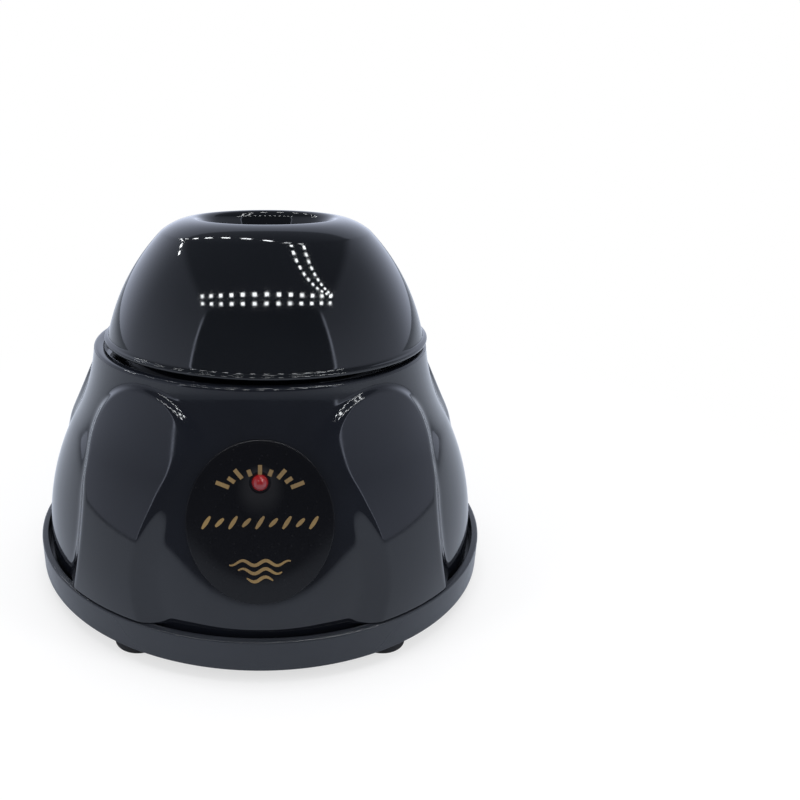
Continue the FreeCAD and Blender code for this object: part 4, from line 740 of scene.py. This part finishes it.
    def build(self) -> bpy.types.Object:
        """Makes the shell: outer rows, rim, deck, collar and inner wall in one closed grid."""
        angles = self.angles()
        heights = np.concatenate([
            [self.foot, 7.5, 9.2, self.seam - 0.03, self.seam, 9.4, 9.47, 9.56, 9.7, 9.9],
            np.linspace(10.2, 41.5, 52), np.linspace(41.8, 50.9, 42), [51.2, 51.6, 52.0]])
        outer = self.outer(heights, angles)
        rows = [np.stack([outer * np.cos(angles), outer * np.sin(angles),
                          np.repeat(heights[:, None], len(angles), 1)], 2)]
        swing = np.linspace(0, pi / 2, 6)[1:, None]
        edge = self.neck[0] - self.neck_round
        lip = np.concatenate([edge + self.neck_round * np.cos(swing),
                              self.neck[1] + self.neck_round * np.sin(swing)], 1)
        top = lip[-1, 1]
        inside = [(self.rim_inner + 0.4, top), (self.rim_inner + 0.12, top - 0.12),
                  (self.rim_inner, top - 0.4), (self.rim_inner, self.deck_top),
                  (self.collar_outer, self.deck_top), (self.collar_outer, self.collar_top - 0.3),
                  (self.collar_outer - 0.3, self.collar_top),
                  (self.collar_inner + 0.3, self.collar_top),
                  (self.collar_inner, self.collar_top - 0.3), (self.collar_inner, self.deck_low)]
        rows.append(turned(np.concatenate([lip, np.array(inside)]), angles))
        down = np.linspace(self.deck_low, self.foot, 16)
        tall, around = np.meshgrid(down, angles, indexing="ij")
        inner = np.minimum(self.bell(tall), self.front_flat(tall, around)) - self.wall
        rows.append(np.stack([inner * np.cos(around), inner * np.sin(around), tall], 2))
        return make_piece("body_shell_skin", [(np.concatenate(rows), True, True)], 50)

    def openings(self) -> list:
        """Cutters for the rear flat, the rocker's opening, the inlet's seat and the light."""
        rear = REAR.frame(REAR.low[1])
        long = (REAR.high[1] - REAR.low[1]) * hypot(1, REAR.lean)
        pad = np.array([(-6.3, 0), (6.3, 0), (6.3, long), (-6.3, long)])
        case = np.array([(-4.4, -6.7), (4.4, -6.7), (4.4, 6.7), (-4.4, 6.7)])
        eye = FRONT.frame(29.2) @ Matrix.Translation((0, 7.3, 0))
        inlet = PowerInlet.frame()
        cutters = [(pad, 0.0, 12.0, rear), (case, -10.0, 10.0, REAR.frame(34.6)),
                   (round_outline(7.1, 64), 0.0, 12.0, inlet),
                   (round_outline(5.6, 64), -12.0, 12.0, inlet),
                   (round_outline(1.55, 32), -6.0, 6.0, eye)]
        return [make_piece("cutter%d" % i, upright_prism(*cutter))
                for i, cutter in enumerate(cutters)]

    def dress(self) -> None:
        """Builds, opens and settles the shell."""
        shell = self.build()
        cut_away(shell, self.openings())
        settle(shell, GLOSS_BLACK, "base", "body_shell")


@dataclass
class Dome:
    """Loose dome with the bottle cup sunk in its top."""

    lip: tuple = (36.1, 53.6)
    lip_top: float = 54.4
    brow: tuple = (35.1, 54.9)
    middle: tuple = (30.6, 66.0)
    fold: tuple = (22.7, 76.25)
    shoulder: tuple = (19.2, 78.2)
    crest: tuple = (15.9, 79.0)
    mouth: tuple = (13.7, 77.7)
    cup_middle: tuple = (10.9, 71.2)
    cup_foot: tuple = (5.6, 67.0)
    wall: float = 2.0
    floor_thick: float = 2.2
    fold_ease: int = 1
    columns: int = 320

    def section(self) -> Points:
        """Section from the cup's floor over the crest to the lip, and back inside.

        The fold between top and flank is eased by the quadratic that both run into.

        Returns:
            Array of (points, 2).
        """
        cup = arc_through(self.cup_foot, self.cup_middle, self.mouth, 28)
        rim = arc_through(self.mouth, (14.45, 78.6), self.crest, 10)
        top = arc_through(self.crest, self.shoulder, self.fold, 26)[:-self.fold_ease]
        flank = arc_through(self.fold, self.middle, self.brow, 80)[self.fold_ease:]
        share = np.linspace(0, 1, 9)[:, None]
        ease = (top[-1] * (1 - share) ** 2 + 2 * np.array(self.fold) * share * (1 - share)
                + flank[0] * share ** 2)
        foot = [(self.brow[0] + 0.1, self.brow[1] - 0.25), (self.brow[0] + 0.35, self.lip_top + 0.06),
                (self.lip[0] - 0.25, self.lip_top), (self.lip[0] - 0.05, self.lip_top - 0.12),
                (self.lip[0], self.lip_top - 0.3), (self.lip[0], self.lip[1] + 0.2),
                (self.lip[0] - 0.2, self.lip[1]), (33.2, self.lip[1])]
        back = arc_through((33.1, 54.9), (28.7, 65.3), (21.3, 74.7), 24)
        roof = arc_through((21.3, 74.7), (18.3, 76.4), (15.8, 76.6), 8)
        heel = arc_through((15.7, 76.0), (12.9, 70.2), (6.6, 64.8), 14)
        parts = [[(0, self.cup_foot[1])], [(4.6, self.cup_foot[1])], cup, rim[1:], top[1:],
                 ease[1:], flank[1:], foot, back, roof[1:], heel, [(0, self.cup_foot[1] - self.floor_thick)]]
        return np.concatenate([np.array(part, float) for part in parts])

    def dress(self) -> None:
        """Builds and settles the dome about the bearing's axis."""
        grid = turned(self.section(), even_turn(self.columns), (ECCENTRIC, 0.0))
        settle(make_piece("dome_skin", [(grid, False, True)], 60), DOME_BLACK, "head", "dome_cap")


@dataclass
class FootRing:
    """Tray whose wall shows as the ring, with its four rubber feet."""

    radius: float = 52.5
    low: float = 2.7
    top: float = 9.2
    ledge: float = 51.1
    floor: float = 5.2
    edge: float = 0.45
    foot_radius: float = 5.2
    foot_top: float = 3.5
    foot_spots: tuple = ((24.0, 39.5), (-24.0, 39.5), (-24.0, -39.5), (24.0, -39.5))
    screw_rings: tuple = ((44.0, 3.1), (21.0, 3.1))
    screw_turns: tuple = (30.0, 150.0, 270.0)
    recess: float = 1.3

    def section(self) -> Points:
        """Section of the tray from the axis under it, up the ring and back over its floor."""
        ring = rounded([(self.radius, self.low, self.edge), (self.radius, self.top, self.edge),
                        (self.ledge, self.top, 0.2), (self.ledge, self.floor, 0.3)], 5)
        return np.concatenate([[(0, self.low)], ring, [(0, self.floor)]])

    def pockets(self) -> list:
        """Cutters for the feet and the screws' heads."""
        spots = [(x, y, self.foot_radius + 0.03, self.foot_top) for x, y in self.foot_spots]
        for reach, radius in self.screw_rings:
            spots += [(reach * cos(radians(turn)), reach * sin(radians(turn)), radius,
                       self.low + self.recess) for turn in self.screw_turns]
        tools = []
        for i, (x, y, radius, level) in enumerate(spots):
            outline = round_outline(radius, 64, (x, y))
            tools.append(make_piece("pocket%d" % i,
                                    upright_prism(outline, self.low - 2, level, Matrix())))
        return tools

    def foot(self, spot: tuple) -> tuple:
        """Grid of one foot, with a rounded tread edge and a shallow dish under it."""
        radius, top = self.foot_radius, self.foot_top
        tread = rounded([(radius, 0.0, 0.6), (radius, top, 0.1)], 6)
        dish = [(0, 0.25), (radius * 0.45, 0.22), (radius * 0.62, 0.0)]
        section = np.concatenate([dish, tread[:6], tread[6:], [(0, top)]])
        return turned(section, even_turn(56), spot), False, True

    def dress(self) -> None:
        """Builds and settles the tray and the feet."""
        grid = turned(self.section(), even_turn(400))
        tray = make_piece("foot_ring", [(grid, False, True)], 50)
        cut_away(tray, self.pockets())
        settle(tray, SATIN_RING, "base", "base_tray")
        feet = make_piece("rubber_treads", [self.foot(spot) for spot in self.foot_spots], 50)
        settle(feet, FOOT_RUBBER, "base", "rubber_feet")


@dataclass
class Label:
    """Oval plate on the front flat with its gold print and red light."""

    tall: float = 29.2
    wide: float = 27.2
    long: float = 30.2
    thick: float = 0.6
    hole: float = 2.0
    light_up: float = 7.3
    light_radius: float = 1.5
    light_proud: float = 2.3
    ink: float = 0.03
    wave_reach: float = 5.6

    def plate(self) -> bpy.types.Object:
        """Oval plate: rings that run from the light's hole to the oval's edge.

        Each ring is the hole's circle and the oval's ellipse mixed by a share, so that the
        hole keeps its place above the middle.

        Returns:
            The object.
        """
        angles = even_turn(180)
        unit = np.stack([np.cos(angles), np.sin(angles)], 1)
        hole = unit * self.hole + [0, self.light_up]
        oval = unit * [self.wide / 2, self.long / 2]
        inset = unit * [self.wide / 2 - 0.25, self.long / 2 - 0.25]
        steps = [(hole, 0), (hole, self.thick)]
        steps += [(hole * (1 - s) + inset * s, self.thick) for s in (0.25, 0.5, 0.75)]
        steps += [(inset, self.thick), (inset * 0.4 + oval * 0.6, self.thick - 0.06),
                  (oval, self.thick - 0.25), (oval, 0)]
        rings = [np.concatenate([ring, np.full((len(ring), 1), float(level))], 1)
                 for ring, level in steps]
        return make_piece("label_oval", [(placed(np.stack(rings), FRONT.frame(self.tall)),
                                          True, True)], 30)

    def stroke(self, path: Points, width: float, taper: float = 0.0) -> tuple:
        """Grid of a thin raised stroke along a flat path.

        Its section is a flat bar across the path's normal, and the width may taper to both ends.

        Args:
            path: (points, 2) on the plate.
            width: Width of the stroke.
            taper: Share of the width lost at both ends.

        Returns:
            Tuple for make_piece.
        """
        way = np.gradient(path, axis=0)
        way /= np.linalg.norm(way, axis=1)[:, None]
        side = np.stack([-way[:, 1], way[:, 0]], 1)
        share = np.linspace(-1, 1, len(path))[:, None]
        half = width / 2 * (1 - taper * share ** 2)
        left, right = path + side * half, path - side * half
        low, high = self.thick - 0.02, self.thick + self.ink
        bars = [(left, low), (left, high), (right, high), (right, low)]
        grid = np.stack([np.concatenate([edge, np.full((len(path), 1), level)], 1)
                         for edge, level in bars], 1)
        ends = grid[[0, -1]].mean(1, keepdims=True).repeat(4, 1)
        closed = np.concatenate([ends[:1], grid, ends[1:]])
        return placed(closed, FRONT.frame(self.tall)), False, True

    def print_marks(self) -> bpy.types.Object:
        """Gold print: a fan of ticks over the light, a row of dashes and three waves under it."""
        marks = []
        for i in range(9):
            turn = radians(150 - 15 * i)
            way = np.array([cos(turn), sin(turn)])
            reach = np.linspace(5.2, 7.4 if i % 2 == 0 else 6.6, 6)[:, None]
            marks.append(self.stroke(np.array([0, 4.2]) + way * reach * [1.25, 0.85], 0.75))
        for i in range(9):
            middle = 2.45 * (i - 4)
            tall = 1.15 if i % 2 == 0 else 0.75
            path = np.stack([np.linspace(middle - 0.75, middle + 0.75, 8),
                             np.linspace(-tall, tall, 8)], 1)
            marks.append(self.stroke(path, 0.75, 0.55))
        for i in range(3):
            reach = self.wave_reach - 1.6 * i
            along = np.linspace(-reach, reach, 40)
            path = np.stack([along, -7.4 - 1.5 * i + 0.45 * np.sin(along * 1.5)], 1)
            marks.append(self.stroke(path, 0.62, 0.6))
        return make_piece("label_print", marks, 30)

    def light(self) -> bpy.types.Object:
        """Red lens: a ball-ended stem with its flange behind the wall and two leads."""
        radius, proud = self.light_radius, self.light_proud
        swing = np.linspace(pi / 2, 0, 16)
        ball = np.stack([radius * np.cos(swing), proud - radius + radius * np.sin(swing)], 1)
        stem = [(radius, -2.2), (1.9, -2.2), (1.9, -3.2), (0, -3.2)]
        seat = FRONT.frame(self.tall) @ Matrix.Translation((0, self.light_up, 0))
        section = np.concatenate([ball, stem])
        pieces = [(placed(turned(section, even_turn(48)), seat), False, True)]
        wire = np.array([(0, -3.1), (0.25, -3.1), (0.25, -10.2), (0, -10.2)])
        for side in (-1.27, 1.27):
            pieces.append((placed(turned(wire, even_turn(12), (side, 0)), seat), False, True))
        return make_piece("red_light", pieces, 50)

    def dress(self) -> None:
        """Builds and settles the plate, its print and the light."""
        settle(self.plate(), LABEL_FILM, "base", "label_plate")
        settle(self.print_marks(), GOLD_INK, "base")
        settle(self.light(), RED_LENS, "base", "power_led")


@dataclass
class PowerInlet:
    """Round barrel inlet low on the rear panel."""

    face: float = 50.1
    flange: float = 6.9
    flange_thick: float = 1.4
    body: float = 5.5
    long: float = 12.5
    bore: float = 3.2
    bore_deep: float = 9.5

    @staticmethod
    def frame() -> Matrix:
        """Placement with Z outwards along +Y."""
        return Matrix.Translation((0, 50.1, 16.5)) @ Matrix.Rotation(radians(-90), 4, "X")

    def dress(self) -> None:
        """Builds and settles the inlet: a flanged sleeve with a blind bore."""
        thick = self.flange_thick
        floor, end = thick - self.bore_deep, thick - self.long
        mouth = rounded([(self.bore, thick, 0.35), (self.flange, thick, 0.3),
                         (self.flange, 0.0, 0.05)], 5)
        section = np.concatenate([[(0, floor), (self.bore, floor)], mouth,
                                  [(self.body, 0), (self.body, end), (0, end)]])
        grid = placed(turned(section, even_turn(96)), self.frame())
        settle(make_piece("inlet_sleeve", [(grid, False, True)], 40), INLET_BLACK, "base", "dc_jack")


@dataclass
class RockerSwitch:
    """Rocker in its bezel high on the rear panel."""

    tall: float = 34.6
    bezel: tuple = (10.6, 15.2)
    bezel_thick: float = 1.5
    case: tuple = (8.6, 13.2)
    case_deep: float = 10.5
    mouth: tuple = (7.0, 11.6)
    mouth_deep: float = 4.6
    rocker_wide: float = 6.6
    rocker_half: float = 5.25
    pivot: float = 0.6
    ear: float = 1.7
    dip: float = 0.7
    keel: float = 2.4
    tilt: float = 9.0
    mark_off: float = 3.0

    def outline(self, size: tuple, inset: float, corner: float) -> Points:
        """Rounded rectangle with ten points in each corner, inset all round."""
        turns = np.linspace(0, pi / 2, 10)[None, :] + (np.arange(4) * pi / 2)[:, None]
        signs = np.array([(1, 1), (-1, 1), (-1, -1), (1, -1)])[:, None, :]
        half = np.array(size) / 2 - inset - corner
        unit = np.stack([np.cos(turns), np.sin(turns)], 2)
        return (signs * half + corner * unit).reshape(-1, 2)

    def case_piece(self) -> bpy.types.Object:
        """Case and bezel as one closed stack of rounded rectangles."""
        top, floor = self.bezel_thick, self.bezel_thick - self.mouth_deep
        rings = [(self.mouth, 0.0, 0.5, floor), (self.mouth, 0.0, 0.5, top - 0.25),
                 (self.mouth, -0.25, 0.7, top), (self.bezel, 0.4, 0.9, top),
                 (self.bezel, 0.1, 1.1, top - 0.12), (self.bezel, 0.0, 1.2, top - 0.4),
                 (self.bezel, 0.0, 1.2, 0.0), (self.case, 0.0, 0.4, 0.0),
                 (self.case, 0.0, 0.4, -self.case_deep + 0.0)]
        flat = [np.concatenate([self.outline(size, inset, corner), np.full((40, 1), level)], 1)
                for size, inset, corner, level in rings]
        first = flat[0].mean(0, keepdims=True).repeat(40, 0)
        last = flat[-1].mean(0, keepdims=True).repeat(40, 0)
        grid = placed(np.stack([first, *flat, last]), REAR.frame(self.tall))
        return make_piece("rocker_bezel", [(grid, False, True)], 35)

    def tipped(self) -> Matrix:
        """Placement of the rocker, tipped about its pivot."""
        pivot = Matrix.Translation((0, 0, self.pivot))
        turn = Matrix.Rotation(radians(self.tilt), 4, "X")
        return REAR.frame(self.tall) @ pivot @ turn @ pivot.inverted()

    def button(self) -> bpy.types.Object:
        """Rocker: its side view, with a hollow top, carried across with rounded flanks."""
        ear = self.pivot + self.ear
        top = arc_through((self.rocker_half, ear), (0, ear - self.dip), (-self.rocker_half, ear), 21)
        under = [(-self.rocker_half, 0.0), (-self.rocker_half / 4, self.pivot - self.keel),
                 (self.rocker_half / 4, self.pivot - self.keel), (self.rocker_half, 0.0)]
        side = np.concatenate([top, under])
        middle = side.mean(0)
        half = self.rocker_wide / 2
        slices = []
        for across, shrink in ((-half, 0.0), (-half, 0.93), (-half + 0.12, 0.98), (-half + 0.35, 1.0),
                               (half - 0.35, 1.0), (half - 0.12, 0.98), (half, 0.93), (half, 0.0)):
            ring = middle + (side - middle) * shrink
            slices.append(np.concatenate([np.full((len(ring), 1), across), ring], 1))
        grid = placed(np.stack(slices), self.tipped())
        return make_piece("rocker_paddle", [(grid, False, True)], 35)

    def crown(self, flat: Points, lift: float) -> Points:
        """Flat points raised to the rocker's hollow top.

        The top's height is ear - dip (1 - (y / half)^2) over the pivot.

        Args:
            flat: (points, 2) across and along the rocker.
            lift: Height over the top.

        Returns:
            (points, 3).
        """
        hollow = self.dip * (1 - (flat[:, 1] / self.rocker_half) ** 2)
        return np.column_stack([flat, self.pivot + self.ear - hollow + lift])

    def marks(self) -> bpy.types.Object:
        """On and off marks as thin raised strokes on the two halves of the rocker."""
        turns = even_turn(32)
        unit = np.stack([np.cos(turns), np.sin(turns)], 1)
        rings = [self.crown(unit * r - [0, self.mark_off], lift)
                 for r, lift in ((0.75, -0.15), (0.75, 0.06), (1.15, 0.06), (1.15, -0.15))]
        circle = (placed(np.stack(rings), self.tipped()), True, True)
        along = self.mark_off + np.linspace(-1.0, 1.0, 9)
        edges = [self.crown(np.stack([np.full(9, side), along], 1), lift)
                 for side, lift in ((-0.2, -0.15), (-0.2, 0.06), (0.2, 0.06), (0.2, -0.15))]
        bar = np.stack(edges, 1)
        ends = bar[[0, -1]].mean(1, keepdims=True).repeat(4, 1)
        bar = np.concatenate([ends[:1], bar, ends[1:]])
        return make_piece("rocker_marks", [circle, (placed(bar, self.tipped()), False, True)], 30)

    def dress(self) -> None:
        """Builds and settles the case, the rocker and its marks."""
        settle(self.case_piece(), SWITCH_NYLON, "base", "power_switch_case")
        settle(self.button(), SWITCH_NYLON, "rocker", "rocker_button")
        settle(self.marks(), SWITCH_MARK, "rocker")


@dataclass
class ReturnSprings:
    """Coil springs between the standoffs and the cradle, built at their full length, though the real ones
    flatten as the cup sinks.
    """

    reach: float = 21.0
    first: float = 30.0
    count: int = 3
    radius: float = 2.45
    wire: float = 0.4
    low: float = 38.45
    high: float = 48.15
    turns: int = 4
    travel: float = 0.7
    steps: int = 64

    def coil(self) -> Points:
        """Grid of one tube about Z.

        The path is (R cos a, R sin a, low + (high - low) a / (2 pi turns)), and the wire's circle
        stands square to it, between the outward way and its cross product with the path's way.

        Returns:
            (points along, points round, 3), with both ends closed to a point.
        """
        angle = np.linspace(0, 2 * pi * self.turns, self.steps * self.turns + 1)
        level = self.low + (self.high - self.low) * angle / angle[-1]
        out = np.stack([np.cos(angle), np.sin(angle), np.zeros_like(angle)], 1)
        path = self.radius * out + level[:, None] * [0, 0, 1]
        way = np.stack([-self.radius * out[:, 1], self.radius * out[:, 0],
                        np.full_like(angle, (self.high - self.low) / angle[-1])], 1)
        way /= np.linalg.norm(way, axis=1)[:, None]
        square = np.cross(way, out)
        ring = even_turn(12)
        tube = path[:, None] + self.wire * (np.cos(ring)[:, None] * out[:, None]
                                            + np.sin(ring)[:, None] * square[:, None])
        return np.concatenate([path[:1, None].repeat(12, 1), tube, path[-1:, None].repeat(12, 1)])

    def dress(self) -> None:
        """Builds the springs, settles them on the base and gives them a mesh of their own."""
        coil = self.coil()
        arm = Matrix.Translation((self.reach, 0, 0))
        turns = [Matrix.Rotation(radians(self.first + 360 / self.count * i), 4, "Z")
                 for i in range(self.count)]
        springs = make_piece("spring_coils", [(placed(coil, turn @ arm), False, True)
                                              for turn in turns], 60)
        settle(springs, SPRING_STEEL, "base", "return_springs")
        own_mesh(springs)


@dataclass
class Works:
    """CAD nodes that keep their own solids and take a finish."""

    nodes: dict
    finishes: dict = field(default_factory=lambda: CARRIED)

    def dress(self) -> None:
        """Gives each carried node its material."""
        for name, finish in self.finishes.items():
            node = self.nodes[name]
            for slot in node.material_slots:
                slot.material = finish.material()
            LOG.info("%s: %s", name, finish.name)


@dataclass
class Studio:
    """Floor, sky, lamps and camera."""

    eye: tuple = (0.0, -0.1560, 0.0944)
    pitch: float = 20.31
    lens: float = 31.5
    shift: float = 0.175
    floor_half: float = 3.0
    ceiling: float = 1.0
    diode_power: float = 30.0
    rows: tuple = (((-0.92, -0.50), (0.0, -0.72), (0.95, -0.49), 13, (0.055, 0.055)),
                   ((-0.98, -0.62), (0.07, -0.86), (1.00, -0.60), 13, (0.055, 0.055)),
                   ((-0.90, 0.86), (-0.20, 0.37), (0.34, 0.03), 9, (0.080, 0.025)),
                   ((-1.05, 0.50), (-0.98, 0.66), (-0.91, 0.84), 4, (0.060, 0.040)),
                   ((0.26, -0.09), (0.33, -0.24), (0.86, -0.49), 10, (0.040, 0.030)),
                   ((0.40, -0.06), (0.50, -0.23), (0.96, -0.46), 10, (0.040, 0.030)))

    def camera(self) -> None:
        """Camera at the photograph's place."""
        data = bpy.data.cameras.new("view")
        data.lens = self.lens
        data.sensor_width = 36.0
        data.shift_x = self.shift
        data.clip_start = 0.005
        seen = bpy.data.objects.new("view", data)
        seen.location = self.eye
        seen.rotation_euler = (radians(90 - self.pitch), 0, 0)
        bpy.context.scene.collection.objects.link(seen)
        bpy.context.scene.camera = seen

    def floor(self) -> None:
        """Pale floor: camera rays see mostly its own white, dimmed by the object's shadow."""
        half = self.floor_half
        corners = [(-half, -half, 0), (half, -half, 0), (half, half, 0), (-half, half, 0)]
        mesh = bpy.data.meshes.new("floor")
        mesh.from_pydata(corners, [], [(0, 1, 2, 3)])
        ground = bpy.data.objects.new("floor", mesh)
        bpy.context.scene.collection.objects.link(ground)
        material = bpy.data.materials.new("pale_floor")
        material.use_nodes = True
        material.node_tree.nodes.clear()
        nodes = Nodes(material.node_tree)
        plain = nodes.add("ShaderNodeBsdfDiffuse", {"Color": (0.36, 0.36, 0.365, 1)})
        white = nodes.add("ShaderNodeEmission", {"Color": (1, 1, 1, 1), "Strength": 0.66})
        lit = nodes.add("ShaderNodeAddShader", {0: plain.outputs[0], 1: white.outputs[0]})
        far = nodes.add("ShaderNodeEmission", {"Color": (1, 1, 1, 1), "Strength": 1.0})
        place = nodes.add("ShaderNodeTexCoord").outputs["Object"]
        reach = nodes.add("ShaderNodeVectorMath", {0: place}, operation="LENGTH").outputs["Value"]
        fade = nodes.scaled(reach, 0.085, 0.20, 0.0, 1.0)
        camera_side = nodes.add("ShaderNodeMixShader", {0: fade, 1: lit.outputs[0],
                                                        2: far.outputs[0]})
        path = nodes.add("ShaderNodeLightPath")
        tone = nodes.blend(path.outputs["Is Glossy Ray"], (0.42, 0.43, 0.45, 1),
                           (0.74, 0.80, 0.92, 1))
        bounce = nodes.add("ShaderNodeBsdfDiffuse", {"Color": tone})
        seen = nodes.math("MAXIMUM", path.outputs["Is Camera Ray"],
                          path.outputs["Is Transmission Ray"])
        both = nodes.add("ShaderNodeMixShader", {0: seen, 1: bounce.outputs[0],
                                                 2: camera_side.outputs[0]})
        output = nodes.add("ShaderNodeOutputMaterial")
        nodes.tree.links.new(both.outputs[0], output.inputs[0])
        mesh.materials.append(material)

    def sky(self) -> None:
        """White to the camera, a graded pale room to gloss, and an even grey to the rest.

        The room has a dim opening towards the camera, bounded by pale trims, on which a point's
        place is its direction divided by how far it looks ahead, and a dim square overhead, whose
        places are divided by how far they look up.
        """
        world = bpy.data.worlds.new("studio")
        bpy.context.scene.world = world
        world.use_nodes = True
        world.node_tree.nodes.clear()
        nodes = Nodes(world.node_tree)
        way = nodes.add("ShaderNodeSeparateXYZ",
                        {0: nodes.add("ShaderNodeTexCoord").outputs["Generated"]})
        climb = nodes.scaled(way.outputs[2], 0.0, 0.80, 0.78, 0.40)
        behind = nodes.scaled(way.outputs[1], 0.2, 0.8, 1.0, 1.6)
        ahead = nodes.math("MAXIMUM", nodes.math("MULTIPLY", way.outputs[1], -1.0), 0.001)
        across = nodes.math("ADD", nodes.math("DIVIDE", way.outputs[0], ahead), 0.09)
        aside = nodes.math("ABSOLUTE", across)
        above = nodes.math("DIVIDE", way.outputs[2], ahead)
        opening = nodes.math("MULTIPLY", nodes.scaled(aside, 1.12, 1.22, 1.0, 0.0),
                             nodes.scaled(above, 1.15, 1.40, 1.0, 0.0))
        over = nodes.math("MAXIMUM", way.outputs[2], 0.001)
        left = nodes.math("ABSOLUTE", nodes.math("DIVIDE", way.outputs[0], over))
        fore = nodes.math("ADD", nodes.math("DIVIDE", way.outputs[1], over), -0.05)
        hatch = nodes.math("MULTIPLY", nodes.scaled(left, 0.92, 1.12, 1.0, 0.0),
                           nodes.scaled(nodes.math("ABSOLUTE", fore), 0.80, 0.92, 1.0, 0.0))
        shade = nodes.math("MAXIMUM", nodes.math("MULTIPLY", opening, 0.78),
                           nodes.math("MULTIPLY", hatch, 0.62))
        dim = nodes.math("SUBTRACT", 1.0, shade)
        seam = nodes.scaled(nodes.math("ABSOLUTE", nodes.math("SUBTRACT", aside, 1.22)),
                            0.0, 0.06, 2.2, 0.0)
        trim = nodes.math("MULTIPLY", seam, nodes.scaled(above, 1.0, 1.2, 1.0, 0.0))
        level = nodes.math("MULTIPLY", nodes.math("MULTIPLY", climb, behind), dim)
        strength = nodes.math("ADD", level, trim)
        path = nodes.add("ShaderNodeLightPath")
        white = nodes.math("MAXIMUM", path.outputs["Is Camera Ray"],
                           path.outputs["Is Transmission Ray"])
        even = nodes.add("ShaderNodeBackground", {"Color": (0.95, 0.97, 1.0, 1), "Strength": 0.45})
        gloss = nodes.add("ShaderNodeBackground", {"Color": (0.80, 0.87, 1.06, 1),
                                                   "Strength": strength})
        plain = nodes.add("ShaderNodeBackground", {"Color": (1, 1, 1, 1), "Strength": 1.0})
        shiny = nodes.add("ShaderNodeMixShader", {0: path.outputs["Is Glossy Ray"],
                                                  1: even.outputs[0], 2: gloss.outputs[0]})
        both = nodes.add("ShaderNodeMixShader", {0: white, 1: shiny.outputs[0],
                                                 2: plain.outputs[0]})
        output = nodes.add("ShaderNodeOutputWorld")
        nodes.tree.links.new(both.outputs[0], output.inputs[0])

    def lamp(self, name: str, place: tuple, aim: tuple, size: tuple, power: float) -> None:
        """Rectangular lamp that faces a point.

        Args:
            name: Lamp's name.
            place: Where it stands, in metres.
            aim: Point that it faces, in metres.
            size: Width and height in metres.
            power: Watts.
        """
        data = bpy.data.lights.new(name, "AREA")
        data.shape = "RECTANGLE"
        data.size, data.size_y = size
        data.energy = power
        lamp = bpy.data.objects.new(name, data)
        lamp.visible_glossy = False
        lamp.location = place
        lamp.rotation_euler = (Vector(aim) - Vector(place)).to_track_quat("-Z", "Y").to_euler()
        bpy.context.scene.collection.objects.link(lamp)

    def lamps(self) -> None:
        """Large soft boxes above and at the sides, which gloss doesn't show."""
        heart = (0, 0, 0.045)
        self.lamp("top_box", (0.0, 0.10, 0.95), heart, (0.9, 0.7), 5.0)
        self.lamp("left_box", (-0.75, -0.35, 0.55), heart, (0.22, 0.55), 1.6)
        self.lamp("right_box", (0.75, -0.30, 0.55), heart, (0.22, 0.55), 1.6)

    def strips(self) -> None:
        """Rows of small diodes on the ceiling, seen only in the gloss.

        Each row is an arc through three spots, and each diode is a flat quad that faces down.
        """
        corner = np.array([(-1, -1), (-1, 1), (1, 1), (1, -1)])
        quads = []
        for start, middle, end, count, diode in self.rows:
            spots = arc_through(start, middle, end, count)[:, None, :]
            way = np.gradient(spots[:, 0], axis=0)
            way /= np.linalg.norm(way, axis=1)[:, None]
            side = np.stack([-way[:, 1], way[:, 0]], 1)
            span = (corner[None, :, :1] * way[:, None] * diode[0]
                    + corner[None, :, 1:] * side[:, None] * diode[1])
            quads.append((spots + span / 2).reshape(-1, 2))
        flat = np.concatenate(quads)
        points = np.concatenate([flat, np.full((len(flat), 1), self.ceiling)], 1)
        mesh = bpy.data.meshes.new("diode_rows")
        mesh.from_pydata(points, [], np.arange(len(points)).reshape(-1, 4).tolist())
        material = bpy.data.materials.new("diode_white")
        material.use_nodes = True
        material.node_tree.nodes.clear()
        nodes = Nodes(material.node_tree)
        glow = nodes.add("ShaderNodeEmission", {"Color": (0.95, 0.98, 1, 1),
                                                "Strength": self.diode_power})
        output = nodes.add("ShaderNodeOutputMaterial")
        nodes.tree.links.new(glow.outputs[0], output.inputs[0])
        mesh.materials.append(material)
        rows = bpy.data.objects.new("diode_rows", mesh)
        bpy.context.scene.collection.objects.link(rows)
        rows.visible_camera = False
        rows.visible_diffuse = False
        rows.visible_shadow = False

    def dress(self) -> None:
        """Sets the whole studio."""
        self.camera()
        self.floor()
        self.sky()
        self.lamps()
        self.strips()
        bpy.context.scene.view_settings.view_transform = "Standard"


def main() -> None:
    """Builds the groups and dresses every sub-assembly in order."""
    logging.basicConfig(level=logging.INFO, format="%(name)s %(message)s")
    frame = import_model()
    moulded_skin()
    worked_metal()
    for assembly in (FootRing(), BodyShell(), Label(), PowerInlet(), RockerSwitch(), Dome(),
                     ReturnSprings(),
                     Works(frame["nodes"]), Studio()):
        LOG.info("building %s", type(assembly).__name__)
        assembly.dress()


if __name__ == "__main__":
    main()
